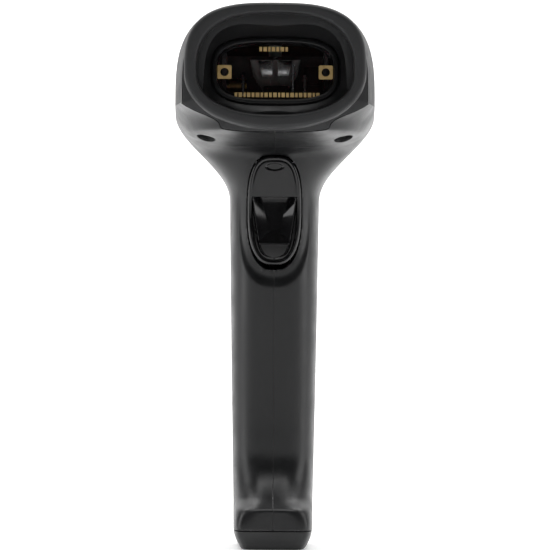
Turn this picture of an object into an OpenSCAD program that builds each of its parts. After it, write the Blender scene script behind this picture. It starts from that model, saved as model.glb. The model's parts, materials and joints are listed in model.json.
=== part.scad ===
// Handheld laser barcode scanner with a pistol grip.
// The origin is the centre of the flat underside of the base cap. +Z is up, the window faces -Y.

/* [Overall] */
// Height from the flat underside to the top of the head
total_h = 180; // [165:1:216]
// Greatest width of the head, at its parting line
head_w = 66.8; // [60:0.2:81]
// Height of the upper housing above the parting line
dome_h = 33; // [31:0.5:38]
// How far the head reaches behind the middle of the base
head_back = 36.5; // [34:0.5:44]
// How far the nose plane stands in front of the middle of the base
nose_reach = 51.5; // [50:0.5:56]
// Forward lean of the nose plane, in degrees
nose_lean = 8; // [4:1:10]
// Thickness of the moulded housings
wall = 2.2; // [1.8:0.1:2.6]

/* [Handle] */
// Width of the handle just above the base cap
grip_w_low = 26; // [24:0.5:31]
// Width of the handle just below the head
grip_w_high = 30.4; // [28.5:0.5:36]
// Distance from the middle of the base to the handle's front at its slimmest
grip_front = 13; // [12.4:0.2:15]
// Distance from the middle of the base to the handle's back at its foot
grip_back = 14; // [13:0.5:18]
// How far the toe stands out in front of the handle
toe_reach = 12.5; // [8:0.5:15]
// Height of the toe's lip
toe_lip_z = 13.5; // [12:0.5:16]
// Height of the base cap
cap_h = 6.4; // [5.4:0.1:7.6]

/* [Nose and window] */
// Half width of the rubber bumper
bumper_half_w = 29.6; // [28:0.2:30.6]
// Width of the bumper's rubber band
bumper_band = 4.3; // [3.4:0.1:5]
// How far the bumper stands out of the nose plane
bumper_depth = 6; // [4:0.5:8]
// Half width of the window glass
glass_half_w = 19.2; // [17:0.2:20.4]
// Half height of the window glass
glass_half_h = 9.5; // [8.5:0.1:10.2]
// Thickness of the window glass
glass_t = 1.5; // [1:0.1:2]
// Backward lean of the window, in degrees
glass_lean = 12; // [6:1:16]

/* [Trigger] */
// Half width of the trigger
trigger_half_w = 8.9; // [7.6:0.1:9.6]
// Height of the trigger
trigger_h = 36.2; // [32:0.2:38]
// How far the trigger turns when it is pulled, in degrees
trigger_swing = 4.5; // [3:0.5:5]
// Radius of the trigger pin
trigger_pin_r = 1; // [0.8:0.05:1.25]
// Distance of the switch plunger below the trigger pin
plunger_drop = 14.5; // [13:0.5:16]
// Radius of the switch plunger
plunger_r = 1.5; // [1.2:0.1:1.8]

/* [Scan engine] */
// Half width of the engine chassis
engine_half_w = 17.5; // [16.5:0.5:18]
// Half width of the swinging mirror holder
mirror_half_w = 8.6; // [7:0.2:9.2]
// Radius of the mirror's pivot pin
mirror_pin_r = 0.8; // [0.6:0.05:1]
// Radius of the laser barrel
barrel_r = 2.6; // [2:0.1:3]

/* [Fits] */
// Radial gap between a turning or sliding piece and its pin or bore
running_gap = 0.05; // [0.03:0.01:0.1]
// Gap between pieces that lie beside each other
piece_gap = 0.2; // [0.1:0.05:0.3]
// Gap between the trigger and the edge of its opening
trigger_gap = 0.5; // [0.35:0.05:0.8]
// Gap between the trigger's pad and the switch plunger
plunger_gap = 0.35; // [0.3:0.05:0.5]

/* [Cable socket] */
// Width of the cable socket's opening
socket_w = 12; // [11:0.2:12.4]
// Depth of the cable socket's opening, front to back
socket_d = 7.6; // [6.6:0.2:8.4]
// How far a plug goes into the cable socket
socket_reach = 12; // [10:0.5:14]
// Radius of the screws' threads
screw_r = 1.3; // [1:0.05:1.5]

/* [Hidden] */

// The parting plane between the upper housing and the two lower shells
part_z = total_h - dome_h;
// Where the flare from the handle to the head starts, and how high it is
flare_z = part_z - 31;
flare_h = 28.5;
// Where the chin starts to run forward under the nose, how high that run is and how far it reaches
chin_z = part_z - 17;
chin_h = 9.1;
chin_reach = 53.5;
// Height below the parting plane in which the chin rounds up to the head's outline
chin_rise_h = 8;
// How far the head's outline would reach forward if the nose did not cut it off
outline_reach = 84.8;
// Middle of the head's outline and of the handle's, front to back
head_mid_y = -8;
grip_mid_y = 2;
// Roundness of the outlines: 2 is an ellipse, more is squarer
plan_round = 2.6;
dome_round = 3.4;
// Steps along and around the moulded shells
arc_steps = 20;
toe_top_z = 32;
// Middle height of the nose
nose_mid_z = part_z + 10;
// Where the roof of the head starts to fall towards the back
roof_y = -30;

// ---------- Curves ----------

// A ramp from 0 to 1 with soft ends
function soft(t) = let (u = max(0, min(1, t))) u * u * (3 - 2 * u);
// A point of a superellipse
function oval(a, b, n, t) = [
    a * sign(cos(t)) * pow(abs(cos(t)), 2 / n),
    b * sign(sin(t)) * pow(abs(sin(t)), 2 / n)
];
// A point of an egg outline, whose upper and lower halves have their own height and roundness
function egg(w, up, down, n_up, n_down, t) = sin(t) >= 0 ? oval(w, up, n_up, t) : oval(w, down, n_down, t);

// Half width, front and back of the handle and the lower head at the height z
function grip_half(z) = let (t = max(0, min(1, z / flare_z)))
    grip_w_low / 2 + (grip_w_high - grip_w_low) / 2 * pow(t, 0.75);
function half_w(z) = grip_half(z)
    + (head_w - grip_w_high) / 2 * soft(pow(max(0, (z - flare_z) / flare_h), 1.1));
function toe(z) = toe_reach * (z <= toe_lip_z ? 1
    : pow(max(0, (toe_top_z - z) / (toe_top_z - toe_lip_z)), 2.2));
function grip_front_y(z) = -grip_front - 8 * pow(max(0, (z - 40) / (part_z - 52)), 1.5) - toe(z);
function front_y(z) = let (
    run = soft(pow(max(0, (z - chin_z) / chin_h), 1.55)),
    rise = pow(max(0, (z - part_z + chin_rise_h) / chin_rise_h), 3)
) grip_front_y(z) * (1 - run) - chin_reach * run - (outline_reach - chin_reach) * rise;
function back_y(z) = let (t = z / part_z)
    grip_back + (head_back - grip_back) * (0.48 * t * t + 0.52 * soft((z - flare_z - 4) / 35));
function mid_y(z) = grip_mid_y + (head_mid_y - grip_mid_y) * soft((z - flare_z) / 31);
// The front of the toe is squarer than the rest of the handle
function front_round(z) = plan_round + 5 * soft((17 - z) / 10);

// Half of the outline at the height z, from the front seam round the right side to the back seam
function half_outline(z, inset) = [
    for (i = [0:arc_steps]) let (
        t = -90 + 180 * i / arc_steps,
        a = half_w(z) - inset,
        b = (t < 0 ? mid_y(z) - front_y(z) : back_y(z) - mid_y(z)) - inset,
        p = oval(a, b, t < 0 ? front_round(z) : plan_round, t)
    ) [i == 0 || i == arc_steps ? 0 : p[0], mid_y(z) + p[1], z]
];

// The head's outline at the parting plane: half width at the depth y
function plan_half(y) = let (
    reach = y < head_mid_y ? outline_reach + head_mid_y : head_back - head_mid_y,
    t = min(1, abs(y - head_mid_y) / reach)
) head_w / 2 * pow(1 - pow(t, plan_round), 1 / plan_round);
// Height of the roof above the parting plane at the depth y
function roof_h(y) = let (t = min(1, max(0, (y - roof_y) / (head_back - roof_y))))
    dome_h * pow(1 - pow(t, 2.2), 1 / 2.2) - 0.0022 * pow(min(0, y - roof_y), 2);
// The tilted nose plane
function nose_y(z) = -nose_reach - tan(nose_lean) * (z - nose_mid_z);
// The tilted window plane, through the middle of the glass
glass_y = -44;
glass_z = part_z + 10.9;
function window_y(z) = glass_y + tan(glass_lean) * (z - glass_z);

// Half of the upper housing's section at the station y, leaned at the nose
function dome_arc(y, inset) = [
    for (i = [2 * arc_steps - 1:-1:0]) let (
        t = 180 * i / (2 * arc_steps - 1),
        p = oval(plan_half(y) - inset, roof_h(y) - inset, dome_round, t),
        lean = 1 - soft((y + nose_reach) / 20)
    ) [p[0], y - tan(nose_lean) * (p[1] + part_z - nose_mid_z) * lean, part_z + p[1]]
];

// ---------- Solids from outlines ----------

// Triangles between two neighbouring rings of points
function band(a, b, count) = [
    for (i = [0:count - 1]) let (j = (i + 1) % count)
        each [[a + i, b + j, a + j], [a + i, b + i, b + j]]
];
// Triangles that close the first or the last ring, as a strip between its two sides
function lid(a, count, flip) = [
    for (i = [0:count / 2 - 2]) let (p = a + i, q = a + i + 1, r = a + count - 2 - i, s = a + count - 1 - i)
        each flip ? [[p, r, q], [p, s, r]] : [[p, q, r], [p, r, s]]
];
// A solid through closed rings that all have the same even number of points
module loft(rings) {
    count = len(rings[0]);
    last = len(rings) - 1;
    polyhedron(
        points = [for (r = rings) each r],
        faces = concat(
            [for (k = [0:last - 1]) each band(k * count, (k + 1) * count, count)],
            lid(0, count, false),
            lid(last * count, count, true)
        )
    );
}
// A closed hoop through rings that lead back to the first one
module hoop(rings) {
    count = len(rings[0]);
    rows = len(rings);
    polyhedron(
        points = [for (r = rings) each r],
        faces = [for (k = [0:rows - 1]) each band(k * count, ((k + 1) % rows) * count, count)]
    );
}
// A round tube that follows a list of points
module tube(path, r, sides) {
    last = len(path) - 1;
    loft([
        for (k = [0:last]) let (
            along = path[min(last, k + 1)] - path[max(0, k - 1)],
            dir = along / norm(along),
            side = cross(dir, [1, 0.02, 0.03]) / norm(cross(dir, [1, 0.02, 0.03])),
            up = cross(side, dir)
        ) [for (i = [0:sides - 1]) let (t = 360 * (i + 0.5) / sides)
            path[k] + r * (cos(t) * side - sin(t) * up)]
    ]);
}
// A cylinder along X, centred on the given point
module rod_x(r, length, x, y, z) {
    translate([x, y, z]) rotate([0, 90, 0]) cylinder(h = length, r = r, center = true, $fn = 40);
}
// A cylinder along Y from y to y + length
module rod_y(r, length, x, y, z) {
    translate([x, y, z]) rotate([-90, 0, 0]) cylinder(h = length, r = r, $fn = 40);
}
// A box given by its lowest corner and its size, centred on x
module block(w, d, h, x, y, z) {
    translate([x - w / 2, y, z]) cube([w, d, h]);
}

// ---------- Places that several pieces share ----------

// Half width of the housing at the height z and the depth y
function outline_x(z, y) = let (
    reach = y < mid_y(z) ? mid_y(z) - front_y(z) : back_y(z) - mid_y(z),
    n = y < mid_y(z) ? front_round(z) : plan_round,
    t = min(1, abs(y - mid_y(z)) / reach)
) half_w(z) * pow(1 - pow(t, n), 1 / n);

// Screws: the hole that a thread fills, the head, and the boss around the hole
thread_hole_r = screw_r + running_gap;
screw_head_r = 2 * screw_r;
screw_head_h = 1.8;
boss_r = screw_r + 1.5;

// Screws that hold the upper housing, up through the shoulders of the lower shells
head_screw_x = head_w / 2 - 10.8;
head_screw_y = -32;
head_screw_seat = part_z - 4.2;
// Screws that draw the two shells together, at [depth, height]
handle_screws_at = [[8.4, 34], [11.4, 96]];
handle_screw_seat = 7;
// Screws that hold the base cap
base_screw_x = 6.6;
base_screw_y = 7.6;

// Trigger, from its tip to its top, and its pin
trigger_top_z = part_z - 16.1;
trigger_mid_z = trigger_top_z - trigger_h / 2;
pin_z = trigger_top_z - 1.6;
pin_y = -12.6;
pin_l = 2 * (outline_x(pin_z, pin_y - 2.6) - wall / 2 - 1.5);
hinge_half_w = 6;
trigger_back_y = -14;
// The switch behind the trigger
plunger_z = pin_z - plunger_drop;
pad_y = trigger_back_y + 2.4;
plunger_travel = plunger_drop * tan(trigger_swing);
plunger_tip_y = pad_y + plunger_gap;
switch_front_y = plunger_tip_y + plunger_travel + 0.8;
switch_depth = 5.6;
switch_board_y = switch_front_y + switch_depth;
board_t = 1.6;
// The trigger's spring, near its lower end
spring_z = trigger_top_z - 27;
spring_r = 2.4;
spring_wire_r = 0.3;
spring_turns = 6;
peg_r = spring_r - spring_wire_r - 0.3;

// The main board under the scan engine
board_z = part_z - 4;
board_screws_at = [[19.5, -20], [19.5, 16]];
board_boss_drop = 6.4;
// The scan engine
plate_z = part_z + 1;
plate_t = 1.6;
engine_top = part_z + 18;
engine_front_y = -38;
engine_back_y = -5;
engine_screws_at = [[13.6, -33.5], [13.6, -9.1]];
mirror_y = -13;
mirror_low = part_z + 5;
mirror_high = part_z + 16.4;
barrel_z = part_z + 7;
barrel_y = -22;
barrel_end = -9.4;
barrel_l = 6.4;
diode_x = 12.2;
// The light pipe on top, over its lamp
pipe_y = 6;
pipe_r = 2.3;
// The cable socket in the foot
socket_y = -7;
socket_floor = 2;
socket_wall = 1;
socket_top = socket_floor + socket_reach + 2;

// ---------- Housing ----------

// One lower shell without its details, on the right side
module shell_wall() {
    low = cap_h;
    steps = [
        for (z = [low, 9.5, toe_lip_z - 0.7, toe_lip_z, toe_lip_z + 0.8, toe_lip_z + 2.4]) z,
        for (z = [toe_lip_z + 5:3.4:toe_top_z]) z,
        for (z = [toe_top_z + 6:13:flare_z - 6]) z,
        for (z = [flare_z - 3:2:chin_z - 1]) z,
        for (z = [chin_z:0.9:part_z - 0.5]) z,
        part_z
    ];
    loft([
        for (z = steps) let (outside = half_outline(z, 0), inside = half_outline(z, wall))
            concat(outside, [for (i = [arc_steps:-1:0]) inside[i]])
    ]);
}
// Everything in front of the nose plane
module nose_cut() {
    translate([0, -nose_reach, nose_mid_z]) rotate([nose_lean, 0, 0])
        translate([-60, -60, -60]) cube([120, 60, 120]);
}
// The opening that the trigger moves in
module trigger_opening() {
    outline = [
        for (i = [0:31]) egg(trigger_half_w + trigger_gap, trigger_h / 2 + trigger_gap,
            trigger_h / 2 + trigger_gap + 2, 3, 2.6, 360 * i / 32)
    ];
    translate([0, pin_y, trigger_mid_z]) rotate([90, 0, 0]) linear_extrude(height = 20) polygon(outline);
}
// A boss along Z with a rib to the side wall
module ribbed_boss(x, y, low, high) {
    translate([x, y, low]) cylinder(h = high - low, r = boss_r, $fn = 40);
    rib = min(outline_x(low, y - 1), outline_x(low, y + 1)) - wall / 2 - x;
    translate([x, y - 0.8, low]) cube([rib, 1.6, high - low]);
}
// Adds the details of the right shell, except its screw holes
module shell_body() {
    shell_wall();
    pin_boss_end = outline_x(pin_z, pin_y - 2.6) - wall / 2;
    pin_boss_l = pin_boss_end - hinge_half_w - piece_gap;
    rod_x(trigger_pin_r + 1.6, pin_boss_l, pin_boss_end - pin_boss_l / 2, pin_y, pin_z);
    for (p = board_screws_at)
        ribbed_boss(p[0], p[1], board_z - board_boss_drop, board_z);
    // Wide enough to leave a wall round a sunk screw head
    wide_boss_r = screw_head_r + 1.2;
    for (p = handle_screws_at) {
        end = min(outline_x(p[1], p[0] - wide_boss_r), outline_x(p[1], p[0] + wide_boss_r)) - wall / 2;
        rod_x(wide_boss_r, end, end / 2, p[0], p[1]);
    }
    translate([base_screw_x, base_screw_y, cap_h]) cylinder(h = 9, r = boss_r, $fn = 40);
    translate([head_screw_x, head_screw_y, part_z - 9.2]) cylinder(h = 9.2, r = boss_r + 1.2, $fn = 40);
    // Rails that hold the switch board
    for (z = [plunger_z - 15, plunger_z + 9]) {
        rail_end = outline_x(z, switch_board_y) - wall / 2;
        translate([8.4, switch_board_y - 2, z])
            cube([rail_end - 8.4, board_t + 4, 2]);
    }
}
// Cuts the holes that both lower shells have
module shell_holes() {
    nose_cut();
    trigger_opening();
    rod_x(trigger_pin_r + running_gap, pin_l + 0.6, 0, pin_y, pin_z);
    for (p = board_screws_at)
        translate([p[0], p[1], board_z - board_boss_drop + 1]) cylinder(h = 20, r = thread_hole_r, $fn = 40);
    translate([base_screw_x, base_screw_y, -1]) cylinder(h = cap_h + 9, r = thread_hole_r, $fn = 40);
    translate([head_screw_x, head_screw_y, part_z - 30]) cylinder(h = 40, r = thread_hole_r, $fn = 40);
    translate([head_screw_x, head_screw_y, head_screw_seat - 25])
        cylinder(h = 25, r = screw_head_r + 0.4, $fn = 40);
}
module right_shell() {
    color("#2f3033") difference() {
        shell_body();
        shell_holes();
        for (p = handle_screws_at) {
            rod_x(thread_hole_r, 2 * handle_screw_seat, handle_screw_seat - 0.1, p[0], p[1]);
            rod_x(screw_head_r + piece_gap, 20, handle_screw_seat + 10, p[0], p[1]);
        }
    }
}
module left_shell() {
    color("#2f3033") mirror([1, 0, 0]) difference() {
        shell_body();
        shell_holes();
        for (p = handle_screws_at)
            rod_x(thread_hole_r, handle_screw_seat + 0.2, handle_screw_seat / 2, p[0], p[1]);
    }
}
module upper_housing() {
    color("#1c1d20") difference() {
        union() {
            dome_shell();
            for (side = [-1, 1]) translate([side * head_screw_x, head_screw_y, part_z])
                cylinder(h = dome_h - 7, r = boss_r, $fn = 40);
        }
        for (side = [-1, 1]) translate([side * head_screw_x, head_screw_y, part_z - 1])
            cylinder(h = 12, r = thread_hole_r, $fn = 40);
        translate([0, pipe_y, part_z + 10]) cylinder(h = 40, r = pipe_r + piece_gap, $fn = 40);
    }
}
// The dome's wall: arcs outside and inside, joined at the nose and at the parting plane, closed at the back
module dome_shell() {
    count = 2 * arc_steps;
    outer = [for (y = dome_stations(0)) dome_arc(y, 0)];
    inner = [for (y = dome_stations(wall)) dome_arc(y, wall)];
    last = len(outer) - 1;
    skip = len(outer) * count;
    polyhedron(
        points = [for (r = concat(outer, inner)) each [for (p = r) [p[0], p[1], max(p[2], part_z)]]],
        faces = concat(
            [for (k = [0:last - 1], i = [0:count - 2]) let (a = k * count + i, b = a + count)
                each [[a, b + 1, a + 1], [a, b, b + 1],
                    [skip + a, skip + a + 1, skip + b + 1], [skip + a, skip + b + 1, skip + b]]],
            [for (i = [0:count - 2]) each [[i, i + 1, skip + i + 1], [i, skip + i + 1, skip + i]]],
            [for (k = [0:last - 1]) let (a = k * count, b = a + count)
                each [[a, skip + b, b], [a, skip + a, skip + b]]],
            [for (k = [0:last - 1]) let (a = k * count + count - 1, b = a + count)
                each [[a, b, skip + b], [a, skip + b, skip + a]]],
            let (a = last * count, b = a + count - 1) [[a, skip + b, b], [a, skip + a, skip + b]],
            lid(last * count, count, true),
            lid(skip + last * count, count, false)
        )
    );
}
// Stations from the nose to the back for a dome that is set in by the given wall
function dome_stations(inset) = let (turn = head_back - inset - roof_y) concat(
    [for (y = [-nose_reach:4.4:roof_y - 1]) y],
    [for (t = [0:7:84]) roof_y + turn * sin(t)],
    [roof_y + turn * sin(86.4)]
);

// ---------- Nose ----------

// A point of the nose opening, set outwards, on the nose plane plus a depth
function on_nose(p, depth) = [p[0], nose_y(nose_mid_z + p[1]) + depth, nose_mid_z + p[1]];
function bumper_rim(t) =
    egg(bumper_half_w, total_h - nose_mid_z - 0.8, nose_mid_z - part_z + 8.6, 3.0, 2.15, t);
function opening_rim(t, out) =
    egg(bumper_half_w - bumper_band + out, dome_h - 14.4 + out, 13.6 + out, 2.6, 2.3, t);
function glass_rim(t, out) = oval(glass_half_w + out, glass_half_h + out, 3.2, t);
function on_glass(p, depth) = [
    p[0],
    window_y(glass_z + p[1]) + depth,
    glass_z + p[1]
];
module nose_bumper() {
    // Each row: share of the way from the outer rim to the opening, and share of the depth
    profile = [[0, 0], [-0.04, 0.4], [0.06, 0.8], [0.3, 1], [0.66, 1], [0.92, 0.84], [1, 0.5], [1, 0]];
    color("#3a3b3e") hoop([
        for (i = [0:55]) let (t = -360 * i / 56)
            [for (row = profile) on_nose(
                bumper_rim(t) + row[0] * (opening_rim(t, 0) - bumper_rim(t)),
                -bumper_depth * row[1] - (row[1] == 0 ? 0.02 : 0)
            )]
    ]);
}
module window_bezel() {
    rim = 0.9;
    color("#141416") hoop([
        for (i = [0:55]) let (t = -360 * i / 56) [
            on_nose(opening_rim(t, 1), 0.1),
            on_nose(opening_rim(t, 0), 0.1),
            on_glass(glass_rim(t, rim), -1.2),
            on_glass(glass_rim(t, -0.6), -1.2),
            on_glass(glass_rim(t, -0.6), 0),
            on_glass(glass_rim(t, rim + piece_gap), 0),
            on_glass(glass_rim(t, rim + piece_gap), glass_t + 1),
            on_glass(glass_rim(t, rim + 1.2), glass_t + 1)
        ]
    ]);
}
// A soft seal behind the edge of the glass
module window_gasket() {
    front = glass_t;
    color("#0a0a0a") hoop([
        for (i = [0:47]) let (t = -360 * i / 48) [
            on_glass(glass_rim(t, 0.7), front + 0.05),
            on_glass(glass_rim(t, -0.9), front + 0.05),
            on_glass(glass_rim(t, -0.9), front + 0.85),
            on_glass(glass_rim(t, 0.7), front + 0.85)
        ]
    ]);
}
module scan_window() {
    color([0.25, 0.03, 0.05, 0.6]) loft([
        for (depth = [0.02, glass_t])
            [for (i = [0:47]) on_glass(glass_rim(-360 * (i + 0.5) / 48, 0), depth)]
    ]);
}

// ---------- Foot ----------

function cap_ring(z, inset) = let (
    taper = 2.5 * pow(max(0, 1 - z / cap_h), 1.7),
    half = half_outline(cap_h, inset + taper)
) concat(
    [for (p = half) [p[0], p[1], z]],
    [for (i = [arc_steps - 1:-1:1]) [-half[i][0], half[i][1], z]]
);
module base_cap() {
    outline = [for (p = cap_ring(0, 0)) [p[0], p[1]]];
    foot = 0.4;
    color("#34353a") difference() {
        union() {
            linear_extrude(height = foot) polygon(outline);
            loft([for (z = [foot, 1.2, 2.2, 3.6, 5, cap_h]) cap_ring(z, 0)]);
        }
        loft([for (z = [socket_floor, 4, cap_h + 1]) cap_ring(min(z, cap_h), wall - 0.2)]);
        block(socket_w + 1, socket_d + 1, 8, 0, socket_y - socket_d / 2 - 0.5, -1);
        for (side = [-1, 1]) translate([side * base_screw_x, base_screw_y, -1]) {
            cylinder(h = 8, r = thread_hole_r, $fn = 40);
            cylinder(h = 1 + 1.2, r = screw_head_r + 0.2, $fn = 40);
        }
    }
}
module base_screws() {
    color("#8d9095") for (side = [-1, 1]) translate([side * base_screw_x, base_screw_y, 0.2]) {
        cylinder(h = 1, r = screw_head_r, $fn = 32);
        translate([0, 0, 1]) cylinder(h = cap_h + 5, r = screw_r, $fn = 32);
    }
}
module cable_socket() {
    color("#1a1a1a") difference() {
        block(socket_w + 2 * socket_wall, socket_d + 2 * socket_wall, socket_top - socket_floor,
            0, socket_y - socket_d / 2 - socket_wall, socket_floor);
        block(socket_w, socket_d, socket_reach + 1, 0, socket_y - socket_d / 2, socket_floor - 1);
    }
}
// Eight springy contacts on the rear wall of the socket
module socket_contacts() {
    pitch = socket_w / 10;
    color("#c9a24a") for (i = [0:7])
        block(0.45, 0.5, socket_reach - 3, (i - 3.5) * pitch, socket_y + socket_d / 2 - 0.5, socket_floor + 2);
}

// ---------- Screws of the housing ----------

module head_screws() {
    color("#8d9095") for (side = [-1, 1]) translate([side * head_screw_x, head_screw_y, 0]) {
        translate([0, 0, head_screw_seat - screw_head_h])
            cylinder(h = screw_head_h, r = screw_head_r, $fn = 32);
        translate([0, 0, head_screw_seat - 0.1]) cylinder(h = 13.5, r = screw_r, $fn = 32);
    }
}
module handle_screws() {
    color("#8d9095") for (p = handle_screws_at) {
        rod_x(screw_head_r, screw_head_h, handle_screw_seat + screw_head_h / 2, p[0], p[1]);
        rod_x(screw_r, 2 * handle_screw_seat - 1, 0.6, p[0], p[1]);
    }
}

// ---------- Trigger ----------

function trigger_w(z) = let (t = min(1, abs(z - trigger_mid_z) / (trigger_h / 2)))
    trigger_half_w * pow(1 - pow(t, z > trigger_mid_z ? 3 : 2.6), z > trigger_mid_z ? 1 / 3 : 1 / 2.6);
// The face stands proud of the handle; below a step it is scooped out for the finger
scoop_top_z = trigger_top_z - 13.4;
scoop_depth = 4.6;
function trigger_face_y(z) = grip_front_y(z) - 1.3 - 1.2 * soft((scoop_top_z - z) / 22);
function scoop(z) = scoop_depth * soft((scoop_top_z - z) / 1.2)
    * soft((z - trigger_mid_z + trigger_h / 2 - 1) / 19);
module trigger() {
    steps = concat(
        [for (t = [-86:11:2]) trigger_mid_z + trigger_h / 2 * sin(t)],
        [scoop_top_z - 1.2, scoop_top_z - 0.6, scoop_top_z],
        [for (t = [22:8:86]) trigger_mid_z + trigger_h / 2 * sin(t)]
    );
    color("#08080a") difference() {
        union() {
            loft([
                for (z = steps) let (w = trigger_w(z)) concat(
                    [for (i = [0:10]) let (
                        u = cos(180 * i / 10),
                        hollow = min(1, 2.2 * max(0, 1 - pow(u / 0.84, 2)))
                    ) [-w * u, trigger_face_y(z) + 0.9 * pow(abs(u), 6) + scoop(z) * hollow, z]],
                    [for (i = [10:-1:0]) [-w * cos(180 * i / 10), trigger_back_y, z]]
                )
            ]);
            rod_x(trigger_pin_r + 1.5, 2 * hinge_half_w, 0, pin_y, pin_z);
            block(5, pad_y - trigger_back_y + 1, 4.6, 0, trigger_back_y - 1, plunger_z - 2.3);
            rod_y(peg_r, 2.6, 0, trigger_back_y - 0.5, spring_z);
        }
        rod_x(trigger_pin_r + running_gap, 20, 0, pin_y, pin_z);
    }
}
module trigger_pin() {
    color("#c8cacc") rod_x(trigger_pin_r, pin_l, 0, pin_y, pin_z);
}
module trigger_spring() {
    start = trigger_back_y + spring_wire_r + 0.05;
    length = switch_board_y - start - spring_wire_r - 0.05;
    steps = 10 * spring_turns;
    color("#b9bcc0") tube([
        for (i = [0:steps]) let (t = 360 * i / 10)
            [spring_r * cos(t), start + length * i / steps, spring_z + spring_r * sin(t)]
    ], spring_wire_r, 6);
}
module switch_body() {
    color("#26262a") difference() {
        block(8, switch_depth, 8, 0, switch_front_y, plunger_z - 4);
        rod_y(plunger_r + running_gap, 5, 0, switch_front_y - 1, plunger_z);
    }
}
module switch_plunger() {
    color("#b4342b") rod_y(plunger_r, switch_front_y - plunger_tip_y + 2, 0, plunger_tip_y, plunger_z);
}
module switch_board() {
    color("#1f5a35") block(16, board_t, 27, 0, switch_board_y, plunger_z - 15);
}

// ---------- Electronics ----------

// The places that screws in the four corners share
module four(at) {
    for (p = at, side = [-1, 1]) translate([side * p[0], p[1], 0]) children();
}
module main_board() {
    color("#1f5a35") difference() {
        union() {
            block(46, 49, board_t, 0, -27, board_z);
            block(34, 10, board_t, 0, -36.5, board_z);
        }
        four(board_screws_at) translate([0, 0, board_z - 1]) cylinder(h = 4, r = thread_hole_r, $fn = 32);
        four(engine_screws_at) translate([0, 0, board_z - 1]) cylinder(h = 4, r = thread_hole_r, $fn = 32);
    }
}
module board_chips() {
    top = board_z + board_t;
    color("#151517") {
        block(9, 9, 1.2, 7.5, -28, top);
        block(12, 6, 1.2, -3, -16, top);
        block(6, 5, 1, -9, -27, top);
        block(5, 5, 1.2, 14, 3, top);
        block(4, 3, 1, -17, -3, top);
    }
}
module board_connectors() {
    color("#e6e2d6") {
        block(10, 5, 3.4, 0, 5.5, board_z - 3.4);
        block(6, 4, 3.4, 0, -2, board_z - 3.4);
        block(6, 2.6, 2.6, 5, switch_board_y + board_t, plunger_z + 6);
    }
}
module board_screws() {
    color("#8d9095") four(board_screws_at) {
        translate([0, 0, board_z + board_t]) cylinder(h = 1.5, r = screw_head_r, $fn = 32);
        translate([0, 0, board_z - 4]) cylinder(h = 4.1 + board_t, r = screw_r, $fn = 32);
    }
}
module buzzer() {
    color("#111113") translate([-9, 14, board_z + board_t]) difference() {
        cylinder(h = 4.5, r = 4.8, $fn = 48);
        translate([0, 0, 3.6]) cylinder(h = 2, r = 0.9, $fn = 24);
    }
}
module status_led() {
    color("#dfe7e2") block(3.2, 3.2, 1.6, 0, pipe_y - 1.6, board_z + board_t);
}
module light_pipe() {
    low = board_z + board_t + 2;
    color([0.85, 0.92, 0.95, 0.7]) translate([0, pipe_y, low])
        cylinder(h = part_z + roof_h(pipe_y) - 0.3 - low, r = pipe_r, $fn = 40);
}

// ---------- Scan engine ----------

module engine_chassis() {
    depth = engine_back_y - engine_front_y;
    side_front_y = -30;
    color("#6d7074") difference() {
        union() {
            block(2 * engine_half_w, depth, plate_t, 0, engine_front_y, plate_z);
            for (side = [-1, 1]) block(1.4, engine_back_y - side_front_y, engine_top - plate_z,
                side * (engine_half_w - 0.7), side_front_y, plate_z);
            block(2 * engine_half_w, 1.6, engine_top - plate_z, 0, engine_back_y - 1.6, plate_z);
            // Cradle under the barrel and pillar under the photodiode
            block(5, 5, barrel_z - barrel_r - plate_z,
                barrel_end - barrel_l / 2 + 0.4, barrel_y - 2.5, plate_z);
            block(4, 2.2, part_z + 8 - plate_z, diode_x, mirror_y - 1, plate_z);
        }
        translate([0, mirror_y, plate_z - 1])
            cylinder(h = plate_t + 2, r = mirror_pin_r + running_gap, $fn = 32);
        four(engine_screws_at) translate([0, 0, plate_z - 1])
            cylinder(h = plate_t + 2, r = thread_hole_r, $fn = 32);
    }
}
module engine_grommets() {
    low = board_z + board_t;
    color("#222222") four(engine_screws_at) translate([0, 0, low]) difference() {
        cylinder(h = plate_z - low, r = screw_head_r, $fn = 32);
        translate([0, 0, -1]) cylinder(h = 8, r = thread_hole_r, $fn = 32);
    }
}
module engine_screws() {
    color("#b9bcc0") four(engine_screws_at) {
        translate([0, 0, plate_z + plate_t]) cylinder(h = 1.4, r = screw_head_r - 0.5, $fn = 32);
        translate([0, 0, board_z - 1])
            cylinder(h = plate_z + plate_t - board_z + 1.1, r = screw_r, $fn = 32);
    }
}
module engine_board() {
    color("#1f5a35")
        block(2 * engine_half_w - 2, 1, engine_top - plate_z - 2, 0, engine_back_y + 0.1, plate_z + 1);
}
module laser_barrel() {
    color("#b08a3c") difference() {
        rod_x(barrel_r, barrel_l, barrel_end - barrel_l / 2, barrel_y, barrel_z);
        rod_x(barrel_r - 0.7, 4, barrel_end, barrel_y, barrel_z);
    }
}
module laser_lens() {
    color("#c7d8e6") rod_x(barrel_r - 0.7 - running_gap, 1.2, barrel_end - 1, barrel_y, barrel_z);
}
module photodiode() {
    color("#1a1a1e") block(5, 2.4, 6, diode_x, mirror_y - 1, part_z + 8);
}
module light_filter() {
    color([0.6, 0.05, 0.05, 0.7]) block(5, 0.8, 6, diode_x, mirror_y - 1.9, part_z + 8);
}
module drive_coil() {
    color("#b5692e") translate([0, engine_back_y - 1.6, part_z + 10.5]) rotate([90, 0, 0]) difference() {
        cylinder(h = 1.5, r = 4.4, $fn = 48);
        translate([0, 0, -1]) cylinder(h = 4, r = 2, $fn = 48);
    }
}
module mirror_pin() {
    color("#c8cacc") translate([0, mirror_y, plate_z])
        cylinder(h = engine_top - plate_z - 0.5, r = mirror_pin_r, $fn = 32);
}
mirror_front_y = mirror_y - 2.4;
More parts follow.
